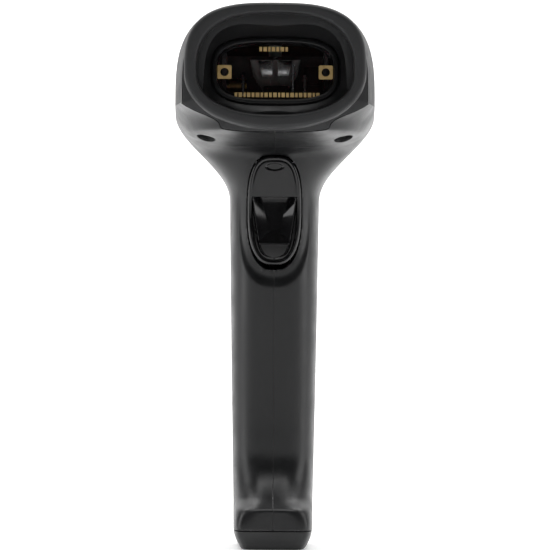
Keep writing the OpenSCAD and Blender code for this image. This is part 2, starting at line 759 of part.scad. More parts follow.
module mirror_holder() {
    tall = mirror_high - mirror_low;
    color("#9a9da1") difference() {
        union() {
            translate([0, mirror_y, mirror_low]) cylinder(h = tall, r = 1.8, $fn = 40);
            block(3, 3, tall, 0, mirror_front_y, mirror_low);
            block(4, 2, 5, 0, mirror_y, part_z + 8);
            translate([0, mirror_front_y + 1, mirror_low]) rotate([90, 0, 0])
                linear_extrude(height = 1) polygon([
                    [-mirror_half_w + 2.4, 0], [mirror_half_w - 2.4, 0],
                    [mirror_half_w, tall], [-mirror_half_w, tall]
                ]);
        }
        translate([0, mirror_y, 0]) cylinder(h = total_h, r = mirror_pin_r + running_gap, $fn = 32);
    }
}
module scan_mirror() {
    tall = mirror_high - mirror_low - 1.4;
    color("#dfe3e6") translate([0, mirror_front_y, mirror_low + 0.7]) rotate([90, 0, 0])
        linear_extrude(height = 0.9) polygon([
            [-mirror_half_w + 3, 0], [mirror_half_w - 3, 0],
            [mirror_half_w - 0.8, tall], [-mirror_half_w + 0.8, tall]
        ]);
}
module mirror_magnet() {
    color("#7b7f86") block(4, 1.4, 5, 0, mirror_y + 2, part_z + 8);
}

// ---------- Wiring inside ----------

module socket_harness() {
    color("#303236") tube([
        [0, 8, board_z - 3.5], [0, 7.8, board_z - 8], [0, 6, board_z - 17], [0, 4.6, plunger_z],
        [0, 4.2, 0.55 * plunger_z], [0, 1, 0.4 * plunger_z], [0, -3.5, socket_top + 15],
        [0, -6.2, socket_top + 6], [0, socket_y, socket_top + 0.5]
    ], 1.7, 8);
}
module switch_lead() {
    low = plunger_z + 8.7;
    color("#5a2326") tube([
        [5, switch_board_y + board_t + 1.3, low], [5, switch_board_y + board_t + 1.3, low + 3],
        [4, 0.6, low + 9], [1.8, 0.2, board_z - 7.5], [1.6, 0, board_z - 5.5], [1.6, 0, board_z - 3.6]
    ], 0.8, 8);
}

upper_housing();
left_shell();
right_shell();
nose_bumper();
window_bezel();
window_gasket();
scan_window();
base_cap();
base_screws();
head_screws();
handle_screws();
trigger();
trigger_pin();
trigger_spring();
switch_body();
switch_plunger();
switch_board();
main_board();
board_chips();
board_connectors();
board_screws();
buzzer();
status_led();
light_pipe();
engine_chassis();
engine_grommets();
engine_screws();
engine_board();
laser_barrel();
laser_lens();
photodiode();
light_filter();
drive_coil();
mirror_pin();
mirror_holder();
scan_mirror();
mirror_magnet();
cable_socket();
socket_contacts();
socket_harness();
switch_lead();
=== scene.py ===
# %% [markdown]
# # A handheld laser barcode scanner
# The scanner's structure comes from its CAD model: housings, trigger, scan engine, boards and screws, each
# where it belongs. Here every outer skin is built again as a fine mesh, and every piece gets a finish that
# looks like the real one. Everything stays in the CAD model's own frame: metres, +Z up, the window faces
# -Y.

# %% Load the frame
import json
import math

import bmesh
import bpy
import numpy as np
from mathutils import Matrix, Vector


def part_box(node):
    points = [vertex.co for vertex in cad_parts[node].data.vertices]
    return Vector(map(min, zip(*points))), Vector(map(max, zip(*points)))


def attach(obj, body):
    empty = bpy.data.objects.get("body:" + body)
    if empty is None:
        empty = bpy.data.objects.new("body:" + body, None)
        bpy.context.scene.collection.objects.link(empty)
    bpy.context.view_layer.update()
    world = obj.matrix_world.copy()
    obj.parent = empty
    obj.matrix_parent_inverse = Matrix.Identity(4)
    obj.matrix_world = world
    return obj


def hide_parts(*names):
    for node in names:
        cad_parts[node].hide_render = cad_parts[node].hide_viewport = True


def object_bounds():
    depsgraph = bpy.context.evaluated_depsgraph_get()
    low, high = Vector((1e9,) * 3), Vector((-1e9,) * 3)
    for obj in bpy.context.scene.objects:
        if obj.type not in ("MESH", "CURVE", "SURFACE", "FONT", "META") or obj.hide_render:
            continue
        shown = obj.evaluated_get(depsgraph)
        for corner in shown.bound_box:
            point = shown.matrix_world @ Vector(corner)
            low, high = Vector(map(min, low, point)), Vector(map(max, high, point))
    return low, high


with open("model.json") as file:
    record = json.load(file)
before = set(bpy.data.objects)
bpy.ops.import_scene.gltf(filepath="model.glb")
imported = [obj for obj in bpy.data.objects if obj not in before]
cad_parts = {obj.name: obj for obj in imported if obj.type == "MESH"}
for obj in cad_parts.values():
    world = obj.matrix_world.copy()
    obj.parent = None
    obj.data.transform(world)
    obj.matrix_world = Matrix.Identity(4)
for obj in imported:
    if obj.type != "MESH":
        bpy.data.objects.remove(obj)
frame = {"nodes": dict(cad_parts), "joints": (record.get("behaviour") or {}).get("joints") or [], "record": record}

cad_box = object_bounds()
print("CAD box", [[round(c, 4) for c in corner] for corner in cad_box])

# %% [markdown]
# ## Sizes
# Plastic mouldings are drawn in millimetres, so the shapes below are worked out in millimetres and turned
# into metres when a mesh is made. What the frame knows is read from it: the boxes of its pieces and its
# hinge points. The rest are the mouldings' own sizes: wall, roundness and the heights where one curve
# hands over to the next.

# %% Sizes in millimetres
MM = 0.001


def box_mm(node):
    low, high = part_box(node)
    return np.array(low) / MM, np.array(high) / MM


shell_low, shell_high = box_mm("left_shell")
cap_high = box_mm("base_cap")[1]
joints = {joint["name"]: joint for joint in frame["joints"]}
hinge_at = np.array(joints["trigger_hinge"]["pos_m"]) / MM
mirror_at = np.array(joints["mirror_swing"]["pos_m"]) / MM

part_z = shell_high[2]
cap_h = cap_high[2]
total_h = part_z + 33
head_half = -shell_low[0]
head_back = 36.5
nose_reach = 51.5
nose_lean = math.radians(8)
nose_mid_z = part_z + 10
wall = 2.2
grip_low, grip_high = 13.0, 15.2
grip_front, grip_back = 13.0, 14.0
toe_reach, toe_lip_z, toe_top_z = 12.5, 13.5, 32.0
flare_z, flare_h = part_z - 31, 28.5
chin_z, chin_h, chin_reach, chin_rise_h = part_z - 17, 9.1, 53.5, 8.0
outline_reach = 84.8
head_mid_y, grip_mid_y = -8.0, 2.0
plan_round, dome_round = 2.6, 3.4
roof_y = -30.0
SKIN = 0.06
print("head", round(2 * head_half, 1), "wide, parting plane at", round(part_z, 1))

# %% [markdown]
# ## The curves of the housing
# The handle and the lower head are one surface: at each height the outline is a superellipse, a curve
# between an ellipse and a rounded box, whose half width, front and back follow the height. A soft ramp,
# flat at both ends, blends the handle's size into the head's. The same functions take a whole numpy array
# at once, which keeps a mesh of a hundred thousand points quick to make.

# %% Curves of the housing
def soft(t):
    t = np.clip(t, 0, 1)
    return t * t * (3 - 2 * t)


def half_w(z):
    grip = grip_low + (grip_high - grip_low) * np.clip(z / flare_z, 0, 1) ** 0.75
    return grip + (head_half - grip_high) * soft(np.maximum(0, (z - flare_z) / flare_h) ** 1.1)


def toe(z):
    """How far the toe stands forward, with its lip rounded by averaging over a little height."""
    lip_r = 0.7
    total = 0
    for shift in np.linspace(-lip_r, lip_r, 9):
        rise = (toe_top_z - (z + shift)) / (toe_top_z - toe_lip_z)
        total = total + toe_reach * np.clip(rise, 0, 1) ** 2.2
    return total / 9


def grip_front_y(z):
    return -grip_front - 8 * np.maximum(0, (z - 40) / (part_z - 52)) ** 1.5 - toe(z)


def front_y(z):
    run = soft(np.maximum(0, (z - chin_z) / chin_h) ** 1.55)
    rise = np.maximum(0, (z - part_z + chin_rise_h) / chin_rise_h) ** 3
    return grip_front_y(z) * (1 - run) - chin_reach * run - (outline_reach - chin_reach) * rise


def back_y(z):
    t = z / part_z
    return grip_back + (head_back - grip_back) * (0.48 * t * t + 0.52 * soft((z - flare_z - 4) / 35))


def mid_y(z):
    return grip_mid_y + (head_mid_y - grip_mid_y) * soft((z - flare_z) / 31)


def front_round(z):
    return plan_round + 5 * soft((17 - z) / 10)

# %% Curves of the head
def plan_half(y):
    reach = np.where(y < head_mid_y, outline_reach + head_mid_y, head_back - head_mid_y)
    t = np.clip(np.abs(y - head_mid_y) / reach, 0, 1)
    return head_half * (1 - t ** plan_round) ** (1 / plan_round)


def roof_h(y):
    t = np.clip((y - roof_y) / (head_back - roof_y), 0, 1)
    return (total_h - part_z) * (1 - t ** 2.2) ** (1 / 2.2) - 0.0022 * np.minimum(0, y - roof_y) ** 2


def nose_y(z):
    return -nose_reach - math.tan(nose_lean) * (z - nose_mid_z)


print("handle", round(float(2 * half_w(80.0)), 1), "wide at mid height;",
      "toe reaches y", round(float(front_y(9.0)), 1))

# %% [markdown]
# ## The camera
# The camera looks level at the window side from a little over a metre away with a long lens, so the head
# hardly looks larger than the foot. A camera closer to it would need a shorter lens and would swell the
# nose. The floor and the lights come last, when there is something to light.

# %% Camera
CAMERA_AWAY = 1.15
VIEW_WIDTH = 0.1864
SENSOR = 36.0
CAMERA_SIDE, CAMERA_HEIGHT, CAMERA_ROLL = 0.0003, 0.0914, math.radians(-0.3)

camera_data = bpy.data.cameras.new("studio_camera")
camera_data.sensor_width = SENSOR
camera_data.lens = SENSOR * CAMERA_AWAY / VIEW_WIDTH
camera_data.clip_start = 0.05
camera = bpy.data.objects.new("studio_camera", camera_data)
camera.location = (CAMERA_SIDE, -CAMERA_AWAY, CAMERA_HEIGHT)
camera.rotation_euler = (math.radians(90), CAMERA_ROLL, 0)
bpy.context.scene.collection.objects.link(camera)
bpy.context.scene.camera = camera
print("lens", round(camera_data.lens), "mm")

# %% [markdown]
# ## Meshes from grids
# Most outer pieces here are grids of points bent into shape, so a few helpers build the faces, open holes
# in them and give thin skins their wall. A hole is made by removing the faces inside its outline and
# moving the rim's points onto the outline itself, which keeps the surface around it as smooth as before.

# %% Objects and grids
def to_object(name, points, faces):
    """A smooth-shaded mesh object from millimetre points, linked to the scene."""
    mesh = bpy.data.meshes.new(name)
    mesh.from_pydata((np.asarray(points) * MM).tolist(), [], faces)
    mesh.update()
    mesh.shade_smooth()
    piece = bpy.data.objects.new(name, mesh)
    bpy.context.scene.collection.objects.link(piece)
    return piece


def grid_faces(rows, cols, wrap_cols=False, flip=False, start=0):
    """Quads between the neighbours of a rows x cols grid of points."""
    quads = []
    for r in range(rows - 1):
        for c in range(cols if wrap_cols else cols - 1):
            a, b = start + r * cols + c, start + r * cols + (c + 1) % cols
            quad = (a, b, b + cols, a + cols)
            quads.append(quad[::-1] if flip else quad)
    return quads

# %% Modifiers and shading
def add_modifier(piece, kind, **settings):
    modifier = piece.modifiers.new(kind.lower(), kind)
    for key, value in settings.items():
        setattr(modifier, key, value)
    return modifier


def apply_modifiers(piece):
    """Turns the piece into plain mesh with its modifiers' work in it."""
    graph = bpy.context.evaluated_depsgraph_get()
    mesh = bpy.data.meshes.new_from_object(piece.evaluated_get(graph))
    piece.modifiers.clear()
    piece.data = mesh


def sharpen(piece, degrees=38):
    """Smooth shading that breaks at edges sharper than the given angle."""
    piece.data.shade_smooth()
    piece.data.set_sharp_from_angle(angle=math.radians(degrees))

# %% Holes, cuts and facing
def open_hole(piece, inside, snap):
    """Removes the faces whose middle passes the test, then moves the hole's rim onto its true curve."""
    mesh = bmesh.new()
    mesh.from_mesh(piece.data)
    doomed = [f for f in mesh.faces if inside(*(f.calc_center_median() / MM))]
    rim = {v for f in doomed for v in f.verts}
    bmesh.ops.delete(mesh, geom=doomed, context="FACES")
    for v in rim:
        if v.is_valid and v.is_boundary:
            v.co = Vector([float(c) for c in snap(*(v.co / MM))]) * MM
    mesh.to_mesh(piece.data)
    mesh.free()


def cut_plane(piece, point, normal):
    """Cuts off what lies on the side of the plane that the normal points to."""
    mesh = bmesh.new()
    mesh.from_mesh(piece.data)
    bmesh.ops.bisect_plane(mesh, geom=mesh.verts[:] + mesh.edges[:] + mesh.faces[:], dist=1e-7,
                           plane_co=Vector(point) * MM, plane_no=Vector(normal), clear_outer=True)
    mesh.to_mesh(piece.data)
    mesh.free()


def face_outwards(piece):
    """Turns all faces so that their fronts look out of the piece."""
    mesh = bmesh.new()
    mesh.from_mesh(piece.data)
    bmesh.ops.recalc_face_normals(mesh, faces=mesh.faces)
    mesh.to_mesh(piece.data)
    mesh.free()

# %% Walls and spacing
def thicken(piece, thickness, chamfer=0.15):
    """Gives an open skin its wall, inwards, and takes the sharpness off the rim."""
    add_modifier(piece, "SOLIDIFY", thickness=thickness * MM, offset=-1, use_rim=True)
    add_modifier(piece, "BEVEL", width=chamfer * MM, segments=2, limit_method="ANGLE",
                 angle_limit=math.radians(50), use_clamp_overlap=True)
    apply_modifiers(piece)
    sharpen(piece)


def evened(values, rate):
    """Stations between the first and last value, close together where the rate of travel is high."""
    travel = np.concatenate([[0], np.cumsum(0.5 * (rate[1:] + rate[:-1]) * np.diff(values))])
    count = int(travel[-1])
    return np.interp(np.linspace(0, travel[-1], count), travel, values)

# %% Hanging a piece on its body
def made(piece, *nodes, body="housing"):
    """Puts the piece on its body in place of the CAD nodes and says how large its mesh is."""
    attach(piece, body)
    if nodes:
        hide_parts(*nodes)
    print(piece.name, len(piece.data.polygons), "faces")
    return piece

# %% [markdown]
# ## The two lower shells
# The handle and the underside of the head are moulded as a left and a right half that meet on the middle
# plane. Each is drawn as rows of heights and columns that run round the outline from the front seam to the
# back seam. The rows sit close where the chin runs forward. The skin is pressed in along the fold under
# the chin and around the trigger, then it gets its holes and its wall.

# %% Trigger outline, which the shells' opening follows
trigger_top_z = hinge_at[2] + 1.6
trigger_half_w, trigger_half_h = 8.9, 18.1
trigger_mid_z = trigger_top_z - trigger_half_h
trigger_gap = 0.45


def egg_reach(x, z, mid, w, up, down, n_up, n_down):
    """1 on an egg-shaped outline seen from in front, less inside it."""
    above = z > mid
    n = np.where(above, n_up, n_down)
    return ((np.abs(x) / w) ** n + (np.abs(z - mid) / np.where(above, up, down)) ** n) ** (1 / n)


def onto_egg(x, z, mid, w, up, down, n_up, n_down):
    """The same direction from the middle, moved onto the outline."""
    reach = egg_reach(x, z, mid, w, up, down, n_up, n_down)
    return x / reach, mid + (z - mid) / reach


opening_egg = (trigger_mid_z, trigger_half_w + trigger_gap, trigger_half_h + trigger_gap,
               trigger_half_h + trigger_gap + 1.2, 3.0, 2.6)
recess_egg = (trigger_mid_z, trigger_half_w + 2.1, trigger_half_h + 1.2, trigger_half_h + 3.9, 3.0, 2.6)
print("trigger", round(2 * trigger_half_w, 1), "x", round(2 * trigger_half_h, 1), "around z",
      round(float(trigger_mid_z), 1))

# %% Lower shell surface
def around(a, b_front, b_back, n_front, n_back, phi):
    """A superellipse by true direction, so that its points are evenly spread."""
    c, s = np.cos(phi), np.sin(phi)
    b = np.where(s < 0, b_front, b_back)
    n = np.where(s < 0, n_front, n_back)
    r = (np.abs(c) ** n + np.abs(s) ** n) ** (-1 / n)
    return a * c * r, b * s * r


fold_z, fold_reach = 133.7, 17.0
fold_depth, fold_width = 1.0, 0.32


def shell_points(z, phi, side):
    z, phi = np.meshgrid(z, phi, indexing="ij")
    mid = mid_y(z)
    x, y = around(half_w(z) - SKIN, mid - front_y(z) - SKIN, back_y(z) - mid - SKIN,
                  front_round(z), plan_round, phi)
    y = y + mid
    front = soft((np.sin(-phi) - 0.1) / 0.2)
    # The fold under the chin rises a little towards its ends and fades out there
    line = fold_z + 0.0035 * x ** 2
    strength = soft((fold_reach - np.abs(x)) / 6) * (0.35 + 0.65 * soft((np.abs(x) - 3) / 6))
    y = y + front * fold_depth * strength * np.exp(-((z - line) / fold_width) ** 2)
    # The handle is dished around the lower half of the trigger
    dish = soft((1.16 - egg_reach(x, z, *recess_egg)) / 0.16) * soft((124 - z) / 14)
    y = y + front * 1.0 * dish
    # The seam: both halves turn in a little where they meet
    turn_in = np.exp(-np.abs(x) / 0.12)
    y = y + np.where(phi < 0, 1, -1) * 0.07 * turn_in
    x = np.maximum(x, 0.03)
    return np.stack([side * x, y, z], axis=-1)

# %% Rows and columns of the lower shells
fine_z = np.linspace(cap_h + 0.12, part_z - 0.06, 6000)
profile_speed = np.sqrt(1 + np.gradient(front_y(fine_z), fine_z) ** 2)
closeness = 1.5 + 4 * (np.abs(fine_z - fold_z - 0.3) < 1.2) + 1.2 * (np.abs(fine_z - toe_lip_z) < 1.6)
shell_z = evened(fine_z, np.minimum(profile_speed, 12) * closeness)
shell_phi = np.radians(np.concatenate([[-90, -89.4, -88.6], np.linspace(-87.5, 87.5, 118), [88.6, 89.4, 90]]))
print("shell grid", len(shell_z), "x", len(shell_phi))

# %% Screw wells in the chin
def chin_z_at(x, y):
    """Height of the underside of the head over a place on the plan, by halving."""
    low, high = flare_z, part_z
    for _ in range(40):
        z = (low + high) / 2
        n = front_round(z)
        inside = (abs(x) / half_w(z)) ** n + (abs(y - mid_y(z)) / (mid_y(z) - front_y(z))) ** n < 1
        low, high = (low, z) if inside else (z, high)
    return high


well_x, well_y, well_r = head_half - 10.8, -32.0, 3.1
well_long = 4.6
seat_z = part_z - 4.2


def in_well(x, y, z):
    return math.hypot((abs(x) - well_x) / well_r, (y - well_y) / well_long) < 1 and z < part_z - 0.5


def onto_well(x, y, z):
    dx, dy = abs(x) - well_x, y - well_y
    grow = 1 / math.hypot(dx / well_r, dy / well_long)
    px, py = well_x + dx * grow, well_y + dy * grow
    return math.copysign(px, x), py, chin_z_at(px, py)

# %% The trigger opening
def in_opening(x, y, z):
    return y < -5 and egg_reach(x, z, *opening_egg) < 1


def onto_opening(x, y, z):
    side = math.copysign(1, x)
    if abs(x) < 0.3:
        px, pz = onto_egg(0.0, z, *opening_egg)
        return side * 0.03, y, pz
    px, pz = onto_egg(x, z, *opening_egg)
    return px, y, pz

# %% Both lower shells
def lower_shell(name, side):
    points = shell_points(shell_z, shell_phi, side)
    rows, cols = points.shape[:2]
    piece = to_object(name, points.reshape(-1, 3), grid_faces(rows, cols, flip=side < 0))
    cut_plane(piece, (0, -nose_reach, nose_mid_z), (0, -math.cos(nose_lean), -math.sin(nose_lean)))
    open_hole(piece, in_opening, onto_opening)
    open_hole(piece, in_well, onto_well)
    thicken(piece, wall, chamfer=0.12)
    return piece


made(lower_shell("left_shell_skin", -1), "left_shell")
right_half = made(lower_shell("right_shell_skin", 1), "right_shell")

# %% [markdown]
# ## The screw wells
# Two screws come up through the shoulders of the lower shells into the roof. Each sits at the end of a
# round well, which shows on the sloping chin as a dark leaf. A turned tube with a shelf at its end makes
# the well.

# %% Turned pieces
def turned(name, profile, at, axis="Z", steps=64, close=False):
    """A mesh turned from (radius, height) pairs about an axis through a point."""
    ring = np.linspace(0, 2 * math.pi, steps, endpoint=False)
    rows = []
    for radius, height in profile:
        u, v = radius * np.cos(ring), radius * np.sin(ring)
        h = np.full_like(u, height)
        rows.append(np.stack({"Z": (u, v, h), "Y": (u, h, -v), "X": (h, u, v)}[axis], axis=-1) + np.array(at))
    points = np.concatenate(rows)
    faces = grid_faces(len(profile), steps, wrap_cols=True)
    if close:
        faces += [tuple(range(steps))[::-1], tuple(range(len(points) - steps, len(points)))]
    piece = to_object(name, points, faces)
    face_outwards(piece)
    return piece


def join(name, parts):
    """One object from several."""
    with bpy.context.temp_override(active_object=parts[0], selected_editable_objects=parts,
                                   selected_objects=parts):
        bpy.ops.object.join()
    parts[0].name = parts[0].data.name = name
    return parts[0]


wells = []
for side in (-1, 1):
    low = chin_z_at(well_x - well_r, well_y + well_long) + 0.3
    well = turned(f"well_{side}", [(well_r + 0.9, low), (well_r, low), (well_r, seat_z), (1.4, seat_z),
                                   (1.4, seat_z + 1), (well_r + 0.9, seat_z + 1)], (side * well_x, well_y, 0))
    # The well is longer than it is wide, and its mouth follows the slope of the chin
    for v in well.data.vertices:
        v.co.y = (well_y + (v.co.y / MM - well_y) * well_long / well_r) * MM
        if v.co.z / MM < low + 0.1:
            v.co.z = (chin_z_at(v.co.x / MM, v.co.y / MM) + 0.6) * MM
    sharpen(well)
    wells.append(well)
made(join("screw_wells", wells))

# %% [markdown]
# ## The upper housing
# The roof is a row of arches. Every arch spans the plan outline at its depth, and the arches lean at the
# nose so that the front edge lies in the tilted nose plane. The lower edge is tucked in slightly, which
# draws the parting line.

# %% Upper housing
turn = head_back - roof_y
dome_y = np.concatenate([
    np.linspace(-nose_reach + 0.05, roof_y - 0.4, 54),
    roof_y + turn * np.sin(np.radians(np.linspace(0, 88.6, 190))),
])
dome_t = np.radians(np.concatenate([[0, 0.5, 1.2], np.linspace(2.2, 177.8, 170), [178.8, 179.5, 180]]))


def dome_points(y, t):
    y, t = np.meshgrid(y, t, indexing="ij")
    x, h = around(plan_half(y) - SKIN, 1, roof_h(y) - SKIN, dome_round, dome_round, t)
    tuck = 0.13 * np.exp(-h / 0.16)
    x = x - np.sign(x) * tuck
    h = np.maximum(h, 0.06)
    y = np.minimum(y, cad_box[1][1] / MM - 0.01)
    lean = 1 - soft((y + nose_reach) / 20)
    return np.stack([x, y - math.tan(nose_lean) * (h + part_z - nose_mid_z) * lean, part_z + h], axis=-1)


lens_y, lens_r = 6.0, 2.3
hole_r = lens_r + 0.2


def roof_z_at(x, y):
    share = np.clip(abs(x) / plan_half(y), 0, 1)
    return part_z + (roof_h(y) - SKIN) * (1 - share ** dome_round) ** (1 / dome_round)


def onto_lens_hole(x, y, z):
    grow = hole_r / math.hypot(x, y - lens_y)
    px, py = x * grow, lens_y + (y - lens_y) * grow
    return px, py, roof_z_at(px, py)


points = dome_points(dome_y, dome_t)
roof = to_object("roof_skin", points.reshape(-1, 3), grid_faces(*points.shape[:2], flip=True))
open_hole(roof, lambda x, y, z: math.hypot(x, y - lens_y) < hole_r, onto_lens_hole)
thicken(roof, wall, chamfer=0.12)
made(roof, "upper_housing")

# %% [markdown]
# ## The nose bumper
# A soft grey frame protects the nose. Its section is a few corner points with a smooth curve through them,
# carried round from the housing's egg-shaped rim to the smaller opening in front of the window.

# %% Nose bumper
def curve_through(corners, per_span=7):
    """Points of a smooth curve through the corners."""
    p = np.asarray(corners, float)
    p = np.vstack([2 * p[0] - p[1], p, 2 * p[-1] - p[-2]])
    out = []
    for i in range(1, len(p) - 2):
        t = np.linspace(0, 1, per_span, endpoint=False)[:, None]
        a, b, c, d = p[i - 1:i + 3]
        out.append(0.5 * (2 * b + (c - a) * t + (2 * a - 5 * b + 4 * c - d) * t ** 2
                          + (3 * b - a - 3 * c + d) * t ** 3))
    return np.vstack(out + [p[-2:-1]])


bumper_half_w, bumper_band, bumper_depth = 29.6, 4.3, 6.0
ring_t = np.linspace(0, 2 * math.pi, 320, endpoint=False)


def even_egg(w, up, down, n_up, n_down, t):
    """An egg outline by true direction, flattest where the roundness is high."""
    c, s = np.cos(t), np.sin(t)
    n = np.where(s > 0, n_up, n_down)
    r = (np.abs(c) ** n + np.abs(s) ** n) ** (-1 / n)
    return np.stack([w * c * r, np.where(s > 0, up, down) * s * r], axis=-1)


rim_out = even_egg(bumper_half_w - SKIN, total_h - nose_mid_z - 0.85, nose_mid_z - part_z + 8.55,
                   3.0, 2.15, ring_t)
rim_in = even_egg(bumper_half_w - bumper_band, total_h - part_z - 14.4, 13.6, 2.6, 2.3, ring_t)


def on_nose(flat, depth):
    z = nose_mid_z + flat[..., 1]
    return np.stack([flat[..., 0], nose_y(z) + depth, z], axis=-1)


section = curve_through([[0.0, 0.02], [0.0, 0.3], [0.02, 0.62], [0.1, 0.86], [0.26, 0.97], [0.5, 0.99],
                         [0.78, 0.985], [0.9, 0.93], [0.965, 0.8], [0.99, 0.5], [1.0, 0.02]])
rows = [on_nose(rim_out + share * (rim_in - rim_out), -bumper_depth * min(depth, 0.99))
        for share, depth in section]
bumper = to_object("nose_bumper_frame", np.concatenate(rows),
                   grid_faces(len(rows), len(ring_t), wrap_cols=True, flip=True))
sharpen(bumper, 60)
made(bumper, "nose_bumper")

# %% Flange behind the bumper
def mouth_outline():
    """The housing's front edge from in front: the roof's arch, then the chin below the parting plane."""
    t = np.linspace(0, math.pi, 120)
    x, h = around(plan_half(-nose_reach), 1, roof_h(-nose_reach), dome_round, dome_round, t)
    z = np.linspace(part_z - 0.02, part_z - 9.6, 700)
    share = (mid_y(z) - nose_y(z)) / (mid_y(z) - front_y(z))
    half = half_w(z) * np.maximum(0, 1 - share ** plan_round) ** (1 / plan_round)
    keep = share < 1
    left = np.column_stack([-half[keep], z[keep]])
    bottom = np.array([[0.0, z[keep][-1]]])
    right = (left * (-1, 1))[::-1]
    return np.vstack([np.column_stack([x, part_z + h]), left[1:], bottom, right[:-1]])


def spread(outline, centre, angles):
    """The outline's points in the given directions from a centre."""
    d = outline - centre
    heading = np.unwrap(np.arctan2(d[:, 1], d[:, 0]))
    order = np.argsort(heading)
    radius = np.interp(np.mod(angles - heading[order][0], 2 * math.pi) + heading[order][0],
                       heading[order], np.hypot(d[:, 0], d[:, 1])[order], period=2 * math.pi)
    return centre + radius[:, None] * np.column_stack([np.cos(angles), np.sin(angles)])


edge_line = spread(mouth_outline(), np.array([0.0, nose_mid_z]), ring_t) - np.array([0, nose_mid_z])
size_of = np.hypot(edge_line[:, 0], edge_line[:, 1])[:, None]
flange_rows = [on_nose(edge_line * (1 - inset / size_of), depth)
               for inset, depth in ((7.0, -0.04), (0.5, -0.04), (0.4, -0.1), (0.4, -0.45), (0.6, -0.6),
                                    (7.0, -0.6))]
flange = to_object("bumper_flange", np.concatenate(flange_rows),
                   grid_faces(len(flange_rows), len(ring_t), wrap_cols=True))
face_outwards(flange)
sharpen(flange, 50)
made(flange)

# %% [markdown]
# ## The window surround
# Behind the bumper a funnel leads to the window. Its floor rises and its ceiling drops to a raised frame,
# and the glass lies one step behind the frame. It is one hoop of sections between two outlines on two
# tilted planes.

# %% Window surround
glass_half_w, glass_half_h, glass_round = 19.2, 9.5, 3.2
glass_lean = math.radians(12)
glass_y, glass_z = -44.0, part_z + 10.9


def glass_rim(out):
    c, s = np.cos(ring_t), np.sin(ring_t)
    r = (np.abs(c) ** glass_round + np.abs(s) ** glass_round) ** (-1 / glass_round)
    return np.stack([(glass_half_w + out) * c * r, (glass_half_h + out) * s * r], axis=-1)


def on_glass(flat, depth):
    return np.stack([flat[..., 0], glass_y + math.tan(glass_lean) * flat[..., 1] + depth,
                     glass_z + flat[..., 1]], axis=-1)


mouth = on_nose(rim_in, -0.2)
frame_foot = on_glass(glass_rim(1.75), -0.9)
funnel = []
for share in np.linspace(0, 1, 22):
    bow = 4 * share * (1 - share)
    ring = mouth * (1 - share) + frame_foot * share
    # The funnel's walls bulge outwards a little on the way in
    ring[:, 0] *= 1 + 0.018 * bow
    ring[:, 2] = glass_z + (ring[:, 2] - glass_z) * (1 + 0.05 * bow)
    funnel.append(ring)
funnel += [on_glass(glass_rim(out), depth) for out, depth in (
    (1.62, -1.0), (1.5, -1.35), (1.3, -1.62), (1.0, -1.72), (0.4, -1.72), (0.12, -1.66),
    (0.0, -1.5), (-0.08, -1.0), (-0.1, -0.2), (-0.1, 0.0), (0.5, 0.0), (2.6, 0.0))]
surround = to_object("window_surround", np.concatenate(funnel),
                     grid_faces(len(funnel), len(ring_t), wrap_cols=True, flip=True))
sharpen(surround, 50)
made(surround, "window_bezel")

# %% [markdown]
# ## The window and its gold marks
# The pane is dark red, and the warning plate's lettering is left out: two gold squares with a dark round
# middle and two rows of plain gold ticks stand where it was.

# %% Window pane
pane_rows = []
for out, depth in ((-1.2, 0.06), (-0.5, 0.06), (-0.15, 0.08), (-0.02, 0.2), (0.0, 0.4), (0.0, 1.3),
                   (-0.15, 1.44)):
    pane_rows.append(on_glass(glass_rim(out - 0.02), depth))
pane_points = np.concatenate(pane_rows)
count = len(ring_t)
pane_faces = grid_faces(len(pane_rows), count, wrap_cols=True)
pane_faces += [tuple(range(count))[::-1], tuple(range(len(pane_points) - count, len(pane_points)))]
pane = to_object("window_pane", pane_points, pane_faces)
sharpen(pane, 30)
made(pane, "scan_window")

# %% Gold marks
def pane_plate(outline, thickness=0.03):
    """Points on the front of the pane for a flat outline, as two rings of a thin plate."""
    flat = np.asarray(outline, float)
    return np.concatenate([on_glass(flat, 0.05), on_glass(flat, 0.05 - thickness)])


mark_points, mark_faces = [], []


def add_bar(x, z, w, h):
    start = sum(len(p) for p in mark_points)
    corners = [(x - w / 2, z - h / 2), (x + w / 2, z - h / 2), (x + w / 2, z + h / 2), (x - w / 2, z + h / 2)]
    mark_points.append(pane_plate(corners))
    quads = [(3, 2, 1, 0), (4, 5, 6, 7), (0, 1, 5, 4), (1, 2, 6, 5), (2, 3, 7, 6), (3, 0, 4, 7)]
    mark_faces.extend([tuple(start + i for i in quad) for quad in quads])


def add_square_ring(x, z, half, hole, steps=48):
    """A square plate with a round hole."""
    start = sum(len(p) for p in mark_points)
    a = np.linspace(0, 2 * math.pi, steps, endpoint=False) + math.pi / steps
    c, s = np.cos(a), np.sin(a)
    reach = half / np.maximum(np.abs(c), np.abs(s))
    outer = np.stack([x + reach * c, z + reach * s], axis=-1)
    inner = np.stack([x + hole * c, z + hole * s], axis=-1)
    rings = [on_glass(inner, 0.05), on_glass(inner, 0.02), on_glass(outer, 0.02), on_glass(outer, 0.05)]
    mark_points.append(np.concatenate(rings))
    mark_faces.extend(grid_faces(4, steps, wrap_cols=True, start=start))


square_x, square_z, square_half, square_hole = 16.5, -0.4, 2.3, 1.35
for side in (-1, 1):
    add_square_ring(side * square_x, square_z, square_half, square_hole)
tick_widths = [0.9, 1.2, 0.7, 1.1, 0.9, 1.2, 0.8, 1.1]
tick_h, tick_gap = 1.5, 0.42
for low_x, high_x, z in ((-5.2, 4.4, 7.2), (-13.2, 13.6, -7.9)):
    x, k = low_x, 0
    while x < high_x:
        w = tick_widths[k % len(tick_widths)]
        add_bar(x + w / 2, z, w, tick_h)
        x += w + tick_gap
        k += 1
marks = to_object("window_marks", np.concatenate(mark_points), mark_faces)
marks.data.shade_flat()
made(marks)

